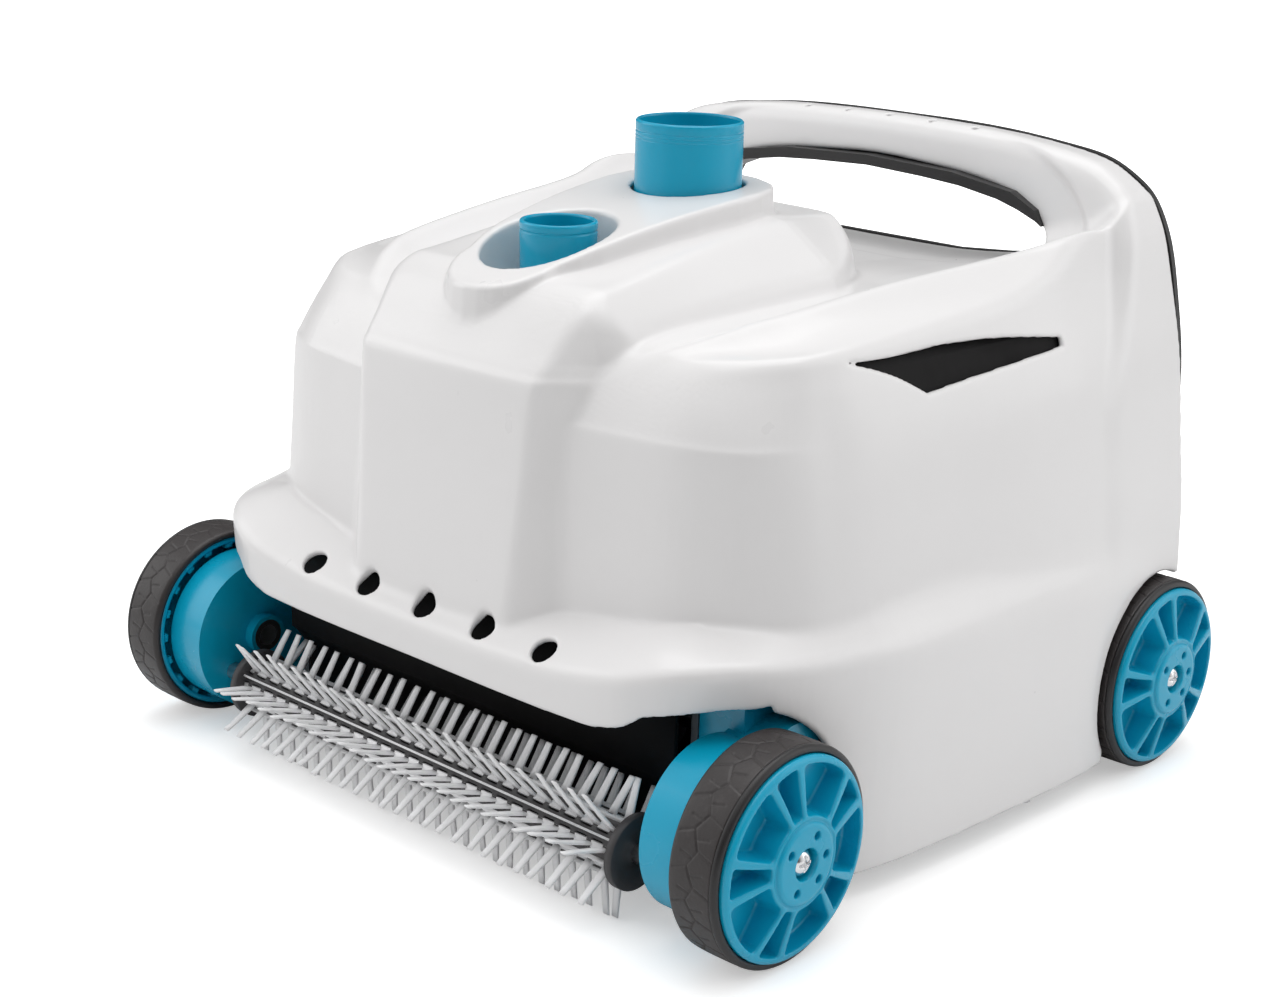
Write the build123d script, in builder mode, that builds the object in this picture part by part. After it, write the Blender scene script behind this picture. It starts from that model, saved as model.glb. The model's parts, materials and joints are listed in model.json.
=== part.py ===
from build123d import *
import os
from math import acos, cos, hypot, pi, radians, sin, sqrt, tan

# Pool cleaner that runs on the return flow of a pool pump.
# Millimetres. +Z is up, the brush faces -Y, and +X is its right-hand side.
# The origin is on the floor, midway between the axles.

os.makedirs("parts", exist_ok=True)

# ---- wheels and axles -------------------------------------------------------
WHEEL_D = 90.0
WHEEL_BASE = 269.3
TRACK_OUTSIDE = 376.6
TYRE_WIDTH = 23.4
TYRE_DEPTH = 3.2
TYRE_SETBACK = 2.8
RIM_WALL = 3.2
HUB_RISE = 5.0
WEB_THICKNESS = 4.0
WEB_SETBACK = 8.0
SPOKE_COUNT = 5
SPOKE_PHASE = 67.0
WIDE_POCKET = (21.0, 21.0)
NARROW_POCKET = (6.5, 9.3)
HUB_D = 33.0
SCREW_HEAD_D = 9.0
SCREW_HEAD_HEIGHT = 3.0
STUB_D = 10.0
REAR_AXLE_D = 8.0
REAR_BUSH_WALL = 2.5
RUNNING_FIT = 0.06
BODY_GAP = 0.3

AXLE_Z = WHEEL_D / 2
FRONT_Y = -WHEEL_BASE / 2
REAR_Y = WHEEL_BASE / 2
WHEEL_OUT = TRACK_OUTSIDE / 2
WHEEL_IN = WHEEL_OUT - TYRE_WIDTH
RIM_R = WHEEL_D / 2 - TYRE_DEPTH

# ---- shell ------------------------------------------------------------------
SHELL_WALL = 3.0
SKIRT_Z = 11.0
BELT_Z = 98.0
HULL_Z = 112.0
DECK_Z = 222.0
BUMPER_Z = 80.0
BUMPER_Y = -163.3
BACK_Y = 158.0
BELT_HALF = 183.0
HULL_HALF = 177.0
FRONT_ARCH_R = 51.0
REAR_ARCH_R = 47.5
WHEELHOUSE_X = 161.0
ARCH_TOP_Z = 282.7
ARCH_FRONT_Y = 127.0
ARCH_HALF = 173.0
GRIP_HALF = 106.0
GRIP_BOTTOM_Z = 221.0
GRIP_TOP_Z = 264.0
TRIM_THICKNESS = 3.0
TRIM_BOTTOM_Z = 172.0
GRIP_PAD = 5.0
BUMPER_HOLE_D = 11.5
BUMPER_HOLE_PITCH = 36.0
BUMPER_HOLES = 5
TOP_HOLE_D = 3.0
TOP_HOLE_PITCH = 25.5
VENT_SCREEN = 1.6

# ---- water path -------------------------------------------------------------
TUBE_D = 48.3
TUBE_WALL = 2.7
TUBE_Y = 1.75
TUBE_TOP_Z = 291.7
TUBE_HOLE_GAP = 1.6
CUFF_LENGTH = 26.0
TUBE_FLANGE_Z = 238.0
TUBE_FLANGE = 4.0
TUBE_FLANGE_LIP = 2.6
TAIL_D = 44.0
TAIL_LENGTH = 14.0
COLLAR_D = 59.6
COLLAR_HEIGHT = 5.0
SEAL_SECTION = 2.6
NOZZLE_D = 33.4
NOZZLE_WALL = 2.4
NOZZLE_Y = -79.25
NOZZLE_TOP_Z = 256.0
BALL_D = 44.0
BALL_Z = 212.0
RECESS_Y = -85.0
RECESS_HALF_X = 26.5
RECESS_HALF_Y = 31.0
RECESS_FLOOR_Z = 224.0
MANIFOLD_BOTTOM_Z = 160.0
FEED_PIPE_D = 20.0
BRANCH_PIPE_D = 24.0
PIPE_WALL = 2.0

# ---- brush ------------------------------------------------------------------
BRUSH_R = 27.5
BRUSH_CORE_R = 12.0
BRUSH_HALF = 118.0
BRUSH_FLANGE_R = 16.0
BRUSH_FLANGE = 4.0
BRISTLE_ROWS = 8
TUFTS = 32
TUFT_D = 3.4
TUFT_TIP_D = 1.6
RAIL_WIDTH = 3.4
RAIL_DEPTH = 2.4
BRUSH_SHAFT_D = 8.0

# ---- gear train -------------------------------------------------------------
MODULE = 1.25
GEAR_WIDTH = 5.0
WHEEL_TEETH = 44
PINION_TEETH = 16
BRUSH_DRIVER_TEETH = 22
BRUSH_TEETH = 14
DRIVE_TEETH = 36
SMALL_TEETH = 12
LARGE_TEETH = 36
TURBINE_TEETH = 12
SHAFT_D = 8.0
LAYSHAFT_D = 6.0
DRIVE_ANGLE = 40.0
LAYSHAFT_ANGLE = 25.0
TURBINE_ANGLE = 50.0
BRUSH_ANGLE = 222.1
TOOTH_PLAY = 0.14

# ---- drive arms -------------------------------------------------------------
DRUM_R = 36.0
DRUM_WALL = 2.6
DRUM_IN = 140.0
DRUM_OUT = 159.0
DRUM_COVER = 2.8
ARM_IN = 125.0
LOBE_R = 15.0

# ---- turbine ----------------------------------------------------------------
TURBINE_R = 37.0
TURBINE_HALF = 22.0
TURBINE_BLADES = 8
TURBINE_CASE_GAP = 2.5
CASE_WALL = 3.0
GEARBOX_X = 31.0
GEARBOX_DEPTH = 22.0

# ---- chassis, drawer and throats -------------------------------------------
PLATE = 4.0
THROAT_X = 79.0
THROAT_WIDTH = 36.0
THROAT_DEPTH = 34.0
THROAT_Y = -32.0
THROAT_TOP_Z = 150.0
THROAT_WALL = 2.0
JET_D = 8.0
DRAWER_HALF = 95.0
DRAWER_FRONT_Y = -8.0
DRAWER_Z = 58.0
DRAWER_HEIGHT = 80.0
DRAWER_WALL = 2.4
FACE_THICKNESS = 3.2
FACE_LIP = 7.0
RAIL_HEIGHT = 5.0
BUTTON_D = 16.0


def save(piece, label):
    """Label a finished piece and write it as its own STEP file."""
    piece.label = label
    export_step(piece, "parts/" + label + ".step")


def section_y(y):
    """A plane across the body at y: local x is X and local y is Z."""
    return Plane(origin=(0, y, 0), x_dir=(1, 0, 0), z_dir=(0, -1, 0))


def both_sides(half):
    """A closed outline from its right-hand half, front to rear."""
    mirrored = [(-x, y) for x, y in reversed(half) if x > 0]
    return mirrored + list(half)


def inset(points, distance):
    """Move a closed outline inwards, each corner along its mitre."""
    count = len(points)
    area = sum(points[i - 1][0] * points[i][1] - points[i][0] * points[i - 1][1]
               for i in range(count))
    side = 1.0 if area > 0 else -1.0
    moved = []
    for i in range(count):
        ax, ay = points[i - 1]
        bx, by = points[i]
        cx, cy = points[(i + 1) % count]
        before = hypot(bx - ax, by - ay)
        after = hypot(cx - bx, cy - by)
        n1 = (-(by - ay) / before * side, (bx - ax) / before * side)
        n2 = (-(cy - by) / after * side, (cx - bx) / after * side)
        reach = 1 + n1[0] * n2[0] + n1[1] * n2[1]
        moved.append((bx + distance * (n1[0] + n2[0]) / reach,
                      by + distance * (n1[1] + n2[1]) / reach))
    return moved


def round_bar(x_start, x_end, radius, y, z, mode=Mode.ADD):
    """A round bar along X."""
    with BuildSketch(Plane.YZ.offset(x_start)) as disc:
        with Locations((y, z)):
            Circle(radius)
    extrude(disc.sketch, amount=x_end - x_start, mode=mode)


def upright(x, y, z_start, z_end, radius, mode=Mode.ADD):
    """A round bar along Z."""
    with BuildSketch(Plane.XY.offset(z_start)) as disc:
        with Locations((x, y)):
            Circle(radius)
    extrude(disc.sketch, amount=z_end - z_start, mode=mode)


def block(x_span, y_span, z_span, mode=Mode.ADD):
    """A rectangular block between two corners."""
    with BuildSketch(Plane.XY.offset(z_span[0])) as base:
        with Locations(((x_span[0] + x_span[1]) / 2, (y_span[0] + y_span[1]) / 2)):
            Rectangle(x_span[1] - x_span[0], y_span[1] - y_span[0])
    extrude(base.sketch, amount=z_span[1] - z_span[0], mode=mode)


# ---- body shell -------------------------------------------------------------
def smooth_face(plane, points):
    """A face with a smooth front and sides, closed by the straight rear run."""
    with BuildSketch(plane) as face:
        with BuildLine():
            Spline(*points)
            Line(points[-1], points[0])
        make_face()
    return face.sketch


HULL_PLAN = [(0, -141), (60, -139), (112, -131), (143, -114), (155, -99), (162, -83), (172, -14),
             (HULL_HALF, 65), (HULL_HALF - 1.5, 110), (HULL_HALF - 5, BACK_Y)]


def hull_outline(front, side):
    """Half plan of the upper hull, set back at the front and drawn in at the sides."""
    moved = [(0, HULL_PLAN[0][1] + front)]
    for i in range(1, len(HULL_PLAN) - 1):
        x, y = HULL_PLAN[i]
        run_x = HULL_PLAN[i + 1][0] - HULL_PLAN[i - 1][0]
        run_y = HULL_PLAN[i + 1][1] - HULL_PLAN[i - 1][1]
        run = hypot(run_x, run_y)
        moved.append((x - side * run_y / run, y + front * run_x / run))
    moved.append((HULL_PLAN[-1][0] - side, HULL_PLAN[-1][1]))
    return moved


HULL_LEVELS = [(HULL_Z - 8, 0, 0), (140, 1.8, 2.5), (165, 3.3, 6), (187, 5.2, 10.3),
               (203, 12.6, 14.8), (214, 19.6, 19), (DECK_Z, 26, 23)]

BELT = [(0, BUMPER_Y), (60, BUMPER_Y - 0.2), (107, BUMPER_Y + 1.3), (135, BUMPER_Y + 12),
        (150, BUMPER_Y + 20), (161, BUMPER_Y + 41), (172, -94), (BELT_HALF - 3, -45),
        (BELT_HALF - 1, 2), (BELT_HALF, 60), (BELT_HALF - 2, 100), (BELT_HALF - 9, BACK_Y)]


def hull_form(wall):
    """The upper hull, drawn in by the wall."""
    faces = []
    for z, front, side in HULL_LEVELS:
        level = z - wall if z == DECK_Z else z
        faces.append(smooth_face(Plane.XY.offset(level),
                                 inset(both_sides(hull_outline(front, side)), wall)))
    loft(faces, ruled=True)


def belt_form(wall):
    """Bumper, belt and skirt, from the lower edge of the skirt to the hull."""
    skirt = [(max(0, x - 6) if y < 0 else x, y) for x, y in BELT]
    skirt[0] = BELT[0]
    top = hull_outline(0, 0)
    low = SKIRT_Z - 1 if wall else SKIRT_Z
    loft([smooth_face(Plane.XY.offset(low), inset(both_sides(skirt), wall)),
            smooth_face(Plane.XY.offset(BELT_Z), inset(both_sides(BELT), wall))], ruled=True)
    loft([smooth_face(Plane.XY.offset(BELT_Z), inset(both_sides(BELT), wall)),
            smooth_face(Plane.XY.offset(HULL_Z + 2.5), inset(both_sides(top), wall + 2))], ruled=True)


SPINE_FRONT = [(HULL_Z - 6, -152.5, 47, 62, 12, -60),
               (165, -147.5, 50, 62, 12, -60),
               (200, -144.3, 52, 62.5, 12, -60),
               (216, -134.3, 54, 64, 12, -90),
               (229, -124.0, 56, 65, 10, -98),
               (239, -110.0, 57, 59, 2, -99)]
SPINE_TOP = [(-112, 57, 239, 70, 224), (-50, 52, 248, 76, 229), (2, 51, 253, 80, 232),
             (14, 50, 253, 79, 238)]
SPINE_TAIL = [(13, 50, 253, 79, 238), (58, 38, 249, 58, 236)]


def spine_form(wall):
    """The raised middle panel at the front and its shoulders along the top."""
    faces = []
    for z, y, edge, foot, set_back, rear in SPINE_FRONT:
        outline = [(-foot, rear), (-foot, y + set_back), (-edge, y),
                   (edge, y), (foot, y + set_back), (foot, rear)]
        with BuildSketch(Plane.XY.offset(z - (wall if z > DECK_Z else 0))) as face:
            Polygon(*inset(outline, wall), align=None)
        faces.append(face.sketch)
    loft(faces, ruled=True)
    for stations, front_wall, rear_wall in ((SPINE_TOP, wall, -wall), (SPINE_TAIL, -wall, -wall)):
        faces = []
        for y, top_half, top, edge, edge_z in stations:
            outline = [(edge + 3, 200), (edge, edge_z), (top_half, top),
                       (-top_half, top), (-edge, edge_z), (-edge - 3, 200)]
            shift = front_wall if y == stations[0][0] else 0
            shift = rear_wall if y == stations[-1][0] else shift
            with BuildSketch(section_y(y + shift)) as face:
                Polygon(*inset(outline, wall), align=None)
            faces.append(face.sketch)
        loft(faces, ruled=True)


PEDESTAL_TOP = [(-150, 232), (-131, 236), (-113, 242), (-85, 250.5), (-50, 257.5),
                (-20, 261.5), (TUBE_Y, 263.5), (40, 265), (70, 265.5)]
PEDESTAL_HALF = [(26, -106), (32, -88), (36, -60), (39, -35), (41.5, -10), (41, 5)]


def pedestal_form(wall):
    """The teardrop pedestal: a round tip round the nozzle, wider round the hose inlet."""
    def outline(spread):
        tip_r = PEDESTAL_HALF[0][0] + spread
        tip_y = PEDESTAL_HALF[0][1]
        steps = 5
        right = [(tip_r * sin(pi / 2 * i / steps), tip_y - tip_r * cos(pi / 2 * i / steps))
                 for i in range(steps)]
        right += [(x + spread, y) for x, y in PEDESTAL_HALF]
        right += [(37 + spread, 18), (28 + spread, 27 + spread), (14, 34.5 + spread)]
        return inset(both_sides(right), wall)

    profile = inset([(PEDESTAL_TOP[0][0], 205)] + PEDESTAL_TOP + [(PEDESTAL_TOP[-1][0], 205)], wall)
    with BuildPart(mode=Mode.PRIVATE) as cone:
        loft([smooth_face(Plane.XY.offset(228), outline(1.5)),
              smooth_face(Plane.XY.offset(270), outline(-1))], ruled=True)
        with BuildSketch(Plane.YZ) as side:
            Polygon(*profile, align=None)
        extrude(side.sketch, amount=120, both=True, mode=Mode.INTERSECT)
    add(cone.part)


CREST = [(-98, 101, 219, 95, 222.5, 87, 219),
         (-82, 116, 221, 106, 230.5, 92, 221),
         (-60, 127, 223, 114, 234.5, 98, 223),
         (-4, 141, 223, 122, 240.5, 103, 223),
         (61, 151, 223, 132, 245, 106, 223),
         (92, 154, 223, 141, 250, 86, 222.5),
         (130, 156, 223, 150, 255, 76, 222)]


def crest_form(wall):
    """The two crests that run along the shoulders into the legs of the arch."""
    for side in (1, -1):
        faces = []
        for y, out_x, out_z, top_x, top_z, in_x, in_z in CREST:
            end = wall if y == CREST[0][0] else 0
            outline = [(in_x, 205), (out_x, 205), (out_x, out_z), (top_x, top_z), (in_x, in_z)]
            with BuildSketch(section_y(y + end)) as face:
                Polygon(*[(side * x, z) for x, z in inset(outline, wall)], align=None)
            faces.append(face.sketch)
        loft(faces, ruled=True)


ARCH_SIDE = [(70, -1.7), (100, -4.7), (121, -8.7), (134, -15.1), (142, -21), (149, -30.7),
             (154, -42), (159.5, -63.7), (164, -87.7), (166.7, -110.7), (168.6, -134.7), (172, -158.2)]


def arch_outline(base_z):
    """Outline of the rear arch, seen from behind, down to base_z."""
    crown = [(x, ARCH_TOP_Z + dz) for x, dz in ARCH_SIDE if ARCH_TOP_Z + dz > base_z + 9]
    foot = ARCH_HALF if base_z < HULL_Z else crown[-1][0] + 2
    right = [(0, ARCH_TOP_Z)] + crown + [(foot, base_z)]
    return [(-x, z) for x, z in reversed(right) if x > 0] + right


def grip_outline(ease):
    """Outline of the hand opening, grown by ease on every side."""
    right = [(0, GRIP_TOP_Z), (50, GRIP_TOP_Z - 2), (84, GRIP_TOP_Z - 7),
             (98, GRIP_TOP_Z - 14), (GRIP_HALF, GRIP_BOTTOM_Z + 16),
             (100, GRIP_BOTTOM_Z + 9), (86, GRIP_BOTTOM_Z + 5), (69, GRIP_BOTTOM_Z + 2.5),
             (40, GRIP_BOTTOM_Z)]
    full = [(-x, z) for x, z in reversed(right) if x > 0] + right
    return inset(full, -ease)


def arch_face(plane, wall, base_z):
    with BuildSketch(plane) as face:
        with BuildLine():
            points = inset(arch_outline(base_z), wall)
            Spline(*points)
            Line(points[-1], points[0])
        make_face()
    return face.sketch


def grip_cut(ease, y_start, y_end, mode=Mode.SUBTRACT):
    with BuildSketch(section_y(y_start)) as face:
        Polygon(*grip_outline(ease), align=None)
    extrude(face.sketch, amount=y_start - y_end, mode=mode)


def arch_solid(wall):
    """The arch that carries the handle; its inside is open to the rear above the deck."""
    base = DECK_Z if wall else BELT_Z - 4
    front = ARCH_FRONT_Y + wall
    with BuildPart(mode=Mode.PRIVATE) as arch:
        extrude(arch_face(section_y(front), wall, base), amount=front - BACK_Y)
        with BuildSketch(Plane.YZ) as slope:
            Polygon((front - 2, DECK_Z), (front + 12, ARCH_TOP_Z), (front + 12, ARCH_TOP_Z + 9),
                    (front - 2, ARCH_TOP_Z + 9), align=None)
        extrude(slope.sketch, amount=ARCH_HALF + 9, both=True, mode=Mode.SUBTRACT)
        grip_cut(wall, ARCH_FRONT_Y - 10, BACK_Y + 10)
    add(arch.part)


def body_form(wall):
    hull_form(wall)
    belt_form(wall)
    spine_form(wall)
    pedestal_form(wall)
    crest_form(wall)
    arch_solid(wall)
    if wall:
        grip_cut(wall, ARCH_FRONT_Y - wall, BACK_Y + 10)
    else:
        grip_cut(wall, ARCH_FRONT_Y - 1, BACK_Y + 10)


def recess_face(z, ease):
    with BuildSketch(Plane.XY.offset(z)) as face:
        with Locations((0, RECESS_Y)):
            Ellipse(RECESS_HALF_X + ease, RECESS_HALF_Y + ease)
    return face.sketch


VENT = [(-63, 218), (-37, 217), (-14, 218), (28, 216), (66, 211), (66, 207.5), (30, 205),
        (0, 204), (-24, 202), (-40, 210), (-55, 215.5)]

with BuildPart() as inside:
    body_form(SHELL_WALL)

with BuildPart() as skin:
    belt_form(0)

with BuildPart() as shell:
    body_form(0)
    add(inside.part, mode=Mode.SUBTRACT)
    # the cup round the thrust nozzle, with its floor
    with BuildPart(mode=Mode.PRIVATE) as cup:
        extrude(recess_face(RECESS_FLOOR_Z, SHELL_WALL), amount=40)
        with BuildSketch(Plane.YZ) as under_top:
            Polygon(*inset([(PEDESTAL_TOP[0][0], 205)] + PEDESTAL_TOP
                           + [(PEDESTAL_TOP[-1][0], 205)], SHELL_WALL / 2), align=None)
        extrude(under_top.sketch, amount=120, both=True, mode=Mode.INTERSECT)
    add(cup.part)
    extrude(recess_face(RECESS_FLOOR_Z + SHELL_WALL, 0), amount=60, mode=Mode.SUBTRACT)
    upright(0, NOZZLE_Y, RECESS_FLOOR_Z - 5, RECESS_FLOOR_Z + 5, BALL_D / 2 - 1.5, Mode.SUBTRACT)
    upright(0, TUBE_Y, DECK_Z + 14, TUBE_TOP_Z, TUBE_D / 2 + TUBE_HOLE_GAP, Mode.SUBTRACT)
    # front bay for the brush and the drive arms
    block((-200, 200), (BUMPER_Y - 9, FRONT_Y + 38), (SKIRT_Z - 9, BUMPER_Z), Mode.SUBTRACT)
    for side in (1, -1):
        round_bar(side * 112, side * 200, FRONT_ARCH_R, FRONT_Y, AXLE_Z, Mode.SUBTRACT)
        # rear wheelhouse: a round pocket with an inner wall
        with BuildPart(mode=Mode.PRIVATE) as wheelhouse:
            round_bar(side * (WHEELHOUSE_X - SHELL_WALL), side * (BELT_HALF - SHELL_WALL),
                      REAR_ARCH_R + SHELL_WALL, REAR_Y, AXLE_Z)
            add(skin.part, mode=Mode.INTERSECT)
        add(wheelhouse.part)
        round_bar(side * WHEELHOUSE_X, side * 200, REAR_ARCH_R, REAR_Y, AXLE_Z, Mode.SUBTRACT)
        round_bar(side * 150, side * 170, REAR_AXLE_D / 2 + BODY_GAP, REAR_Y, AXLE_Z, Mode.SUBTRACT)
        with BuildSketch(Plane.YZ.offset(side * 130)) as vent:
            Polygon(*VENT, align=None)
        extrude(vent.sketch, amount=side * 60, mode=Mode.SUBTRACT)
    block((-200, 200), (REAR_Y - 40, BACK_Y + 9), (SKIRT_Z - 9, SKIRT_Z + 6), Mode.SUBTRACT)
    # five drain holes on the bumper, five small ones on top of the handle
    for i in range(BUMPER_HOLES):
        x = (i - (BUMPER_HOLES - 1) / 2) * BUMPER_HOLE_PITCH
        drill = Plane(origin=(x, BUMPER_Y + 7.5, BELT_Z + 6), z_dir=(0, -1, 1.45))
        with BuildSketch(drill.offset(-14)) as drain:
            Circle(BUMPER_HOLE_D / 2)
        extrude(drain.sketch, amount=28, mode=Mode.SUBTRACT)
        upright((i - (BUMPER_HOLES - 1) / 2) * TOP_HOLE_PITCH, BACK_Y - 9, ARCH_TOP_Z - 9,
                ARCH_TOP_Z + 9, TOP_HOLE_D / 2, Mode.SUBTRACT)
    # opening for the debris drawer
    block((-DRAWER_HALF - 2, DRAWER_HALF + 2), (BACK_Y - 9, BACK_Y + 9),
          (DRAWER_Z - 2, DRAWER_Z + DRAWER_HEIGHT + 2), Mode.SUBTRACT)
save(shell.part, "body_shell")

# ---- handle trim, grip and vent screens --------------------------------------
with BuildPart() as back_trim:
    extrude(arch_face(section_y(BACK_Y), 0, TRIM_BOTTOM_Z), amount=-TRIM_THICKNESS)
    grip_cut(0, BACK_Y - 1, BACK_Y + TRIM_THICKNESS + 1)
save(back_trim.part, "handle_back_trim")

with BuildPart() as grip:
    pad_z = GRIP_TOP_Z - GRIP_PAD
    with BuildSketch(section_y(ARCH_FRONT_Y + 5)) as pad:
        Polygon(*inset(grip_outline(0), BODY_GAP / 3), align=None)
        right = [(0, pad_z), (33, pad_z - 1.4), (55, pad_z - 3), (77, pad_z - 6.5),
                 (89, pad_z - 10), (99, pad_z - 14), (GRIP_HALF + 9, pad_z - 24),
                 (GRIP_HALF + 9, GRIP_BOTTOM_Z - 9), (0, GRIP_BOTTOM_Z - 9)]
        Polygon(*[(-x, z) for x, z in reversed(right) if x > 0] + right, align=None,
                mode=Mode.SUBTRACT)
    extrude(pad.sketch, amount=ARCH_FRONT_Y + 5 - BACK_Y)
save(grip.part, "handle_grip")

with BuildPart() as screen:
    with BuildPart(mode=Mode.PRIVATE) as lining:
        hull_form(SHELL_WALL + 0.1)
    with BuildPart(mode=Mode.PRIVATE) as backing:
        hull_form(SHELL_WALL + 0.1 + VENT_SCREEN)
    with BuildSketch(Plane.YZ.offset(130)) as patch:
        Polygon(*inset(VENT, -4), align=None)
    extrude(patch.sketch, amount=60)
    add(lining.part, mode=Mode.INTERSECT)
    add(backing.part, mode=Mode.SUBTRACT)
save(Compound(children=[screen.part.solid(), mirror(screen.part, about=Plane.YZ).solid()]),
     "vent_screens")


# ---- wheels -----------------------------------------------------------------
def ring_profile(points):
    """Spin a profile of (x, radius) points about the X axis of the front axle."""
    with BuildSketch(Plane.XY) as profile:
        Polygon(*points, align=None)
    return profile.sketch


def spun(points, mode=Mode.ADD):
    """A ring turned about X; it is made on the X axis."""
    revolve(ring_profile(points), axis=Axis.X, mode=mode)


WEB_OUT = WHEEL_OUT - WEB_SETBACK
WEB_IN = WEB_OUT - WEB_THICKNESS
HUB_R = HUB_D / 2
HUB_OUT = WHEEL_OUT + HUB_RISE
POCKET_INNER = HUB_R + 2.5
POCKET_OUTER = RIM_R - RIM_WALL
HUB_BORE = STUB_D / 2 + RUNNING_FIT
SOCKET_DEPTH = 5.5


def pocket(half_angles, depth_from, inner, outer):
    """One pocket between the spokes, on the side that faces out."""
    near, far = (radians(angle) for angle in half_angles)
    corner = min(1.8, inner * tan(near) * 0.5)
    with BuildSketch(Plane.YZ.offset(depth_from)) as cut:
        Polygon((inner * cos(near), -inner * sin(near)), (outer * cos(far), -outer * sin(far)),
                (outer * 1.02, 0), (outer * cos(far), outer * sin(far)),
                (inner * cos(near), inner * sin(near)), align=None)
        fillet(cut.vertices(), corner)
    return cut.sketch


def wheel_rim(bore_r):
    """A moulded rim on the X axis: barrel, dished web with spokes, and hub."""
    with BuildPart() as rim:
        rim_in = WHEEL_IN - TYRE_SETBACK + 0.7
        spun([(rim_in, RIM_R - RIM_WALL), (rim_in, RIM_R),
              (WHEEL_OUT - 0.6, RIM_R), (WHEEL_OUT, RIM_R - 0.6),
              (WHEEL_OUT, RIM_R - RIM_WALL + 0.8)])
        spun([(WEB_IN, 0), (WEB_IN, RIM_R - 1), (WHEEL_OUT - 1.5, RIM_R - 1),
              (WHEEL_OUT + HUB_RISE * 0.1, POCKET_OUTER), (HUB_OUT - 1, HUB_R + 1), (HUB_OUT, HUB_R),
              (HUB_OUT, 0)])
        spun([(WHEEL_IN + 3, 0), (WHEEL_IN + 3, HUB_R - 4), (WEB_IN + 1, HUB_R - 4),
              (WEB_IN + 1, 0)])
        wide = pocket(WIDE_POCKET, WEB_OUT, POCKET_INNER, POCKET_OUTER)
        narrow = pocket(NARROW_POCKET, WEB_OUT, POCKET_INNER, POCKET_OUTER)
        pitch = 360 / SPOKE_COUNT
        for i in range(SPOKE_COUNT):
            turn = SPOKE_PHASE + i * pitch
            extrude(wide.rotate(Axis.X, turn), amount=16, mode=Mode.SUBTRACT)
            extrude(narrow.rotate(Axis.X, turn + pitch / 2), amount=16, mode=Mode.SUBTRACT)
        spun([(HUB_OUT - SOCKET_DEPTH, 0), (HUB_OUT - SOCKET_DEPTH, SCREW_HEAD_D / 2 + 1),
              (HUB_OUT + 9, SCREW_HEAD_D / 2 + 1), (HUB_OUT + 9, 0)], Mode.SUBTRACT)
        spun([(WHEEL_IN - 9, 0), (WHEEL_IN - 9, bore_r), (HUB_OUT + 9, bore_r), (HUB_OUT + 9, 0)],
             Mode.SUBTRACT)
    return rim.part


def wheel_tyre():
    """A tyre on the X axis, with rounded shoulders."""
    outer = WHEEL_D / 2
    start = WHEEL_IN - TYRE_SETBACK
    end = start + TYRE_WIDTH
    with BuildPart() as tyre:
        spun([(start, RIM_R), (start, outer - 2.2), (start + 0.7, outer - 0.8),
              (start + 2.4, outer - 0.1), (start + TYRE_WIDTH / 2, outer), (end - 2.4, outer - 0.1),
              (end - 0.7, outer - 0.8), (end, outer - 2.2), (end, RIM_R)])
    return tyre.part


def wheel_screw(shank_r, length):
    """A domed screw in the wheel's hub, on the X axis; its shank goes into the axle."""
    base = HUB_OUT - SOCKET_DEPTH
    head = SCREW_HEAD_D / 2
    with BuildPart() as screw:
        with BuildSketch(Plane.XY) as profile:
            with BuildLine():
                Polyline((base - length, 0), (base - length, shank_r), (base, shank_r),
                         (base, head), (base + SCREW_HEAD_HEIGHT * 0.4, head))
                ThreePointArc((base + SCREW_HEAD_HEIGHT * 0.4, head),
                              (base + SCREW_HEAD_HEIGHT * 0.85, head * 0.62),
                              (base + SCREW_HEAD_HEIGHT, 0))
                Line((base + SCREW_HEAD_HEIGHT, 0), (base - length, 0))
            make_face()
        revolve(profile.sketch, axis=Axis.X)
        with BuildSketch(Plane.YZ.offset(base + 0.8)) as cross:
            Rectangle(head * 1.1, 1.2)
            Rectangle(1.2, head * 1.1)
        extrude(cross.sketch, amount=9, mode=Mode.SUBTRACT)
    return screw.part


def place(piece, y, z):
    return piece.moved(Location((0, y, z)))


SCREW_SHANK_R = 2.0
SCREW_SHANK = 14.0
AXLE_END = HUB_OUT - SOCKET_DEPTH
REAR_BORE = REAR_AXLE_D / 2 + REAR_BUSH_WALL

front_rim = place(wheel_rim(HUB_BORE), FRONT_Y, AXLE_Z)
rear_rim = place(wheel_rim(REAR_BORE), REAR_Y, AXLE_Z)
tyre = wheel_tyre()
front_tyre = place(tyre, FRONT_Y, AXLE_Z)
rear_tyre = place(tyre, REAR_Y, AXLE_Z)
screw = wheel_screw(SCREW_SHANK_R, SCREW_SHANK)
front_screw = place(screw, FRONT_Y, AXLE_Z)
rear_screw = place(screw, REAR_Y, AXLE_Z).moved(Location((BODY_GAP, 0, 0)))
for piece, label in ((front_rim, "front_wheel"), (rear_rim, "rear_wheel"),
                     (front_tyre, "front_tyre"), (rear_tyre, "rear_tyre"),
                     (front_screw, "front_screw")):
    save(mirror(piece, about=Plane.YZ), label + "_left")
    save(piece, label + "_right")
save(Compound(children=[rear_screw.solid(), mirror(rear_screw, about=Plane.YZ).solid()]),
     "rear_screws")

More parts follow.
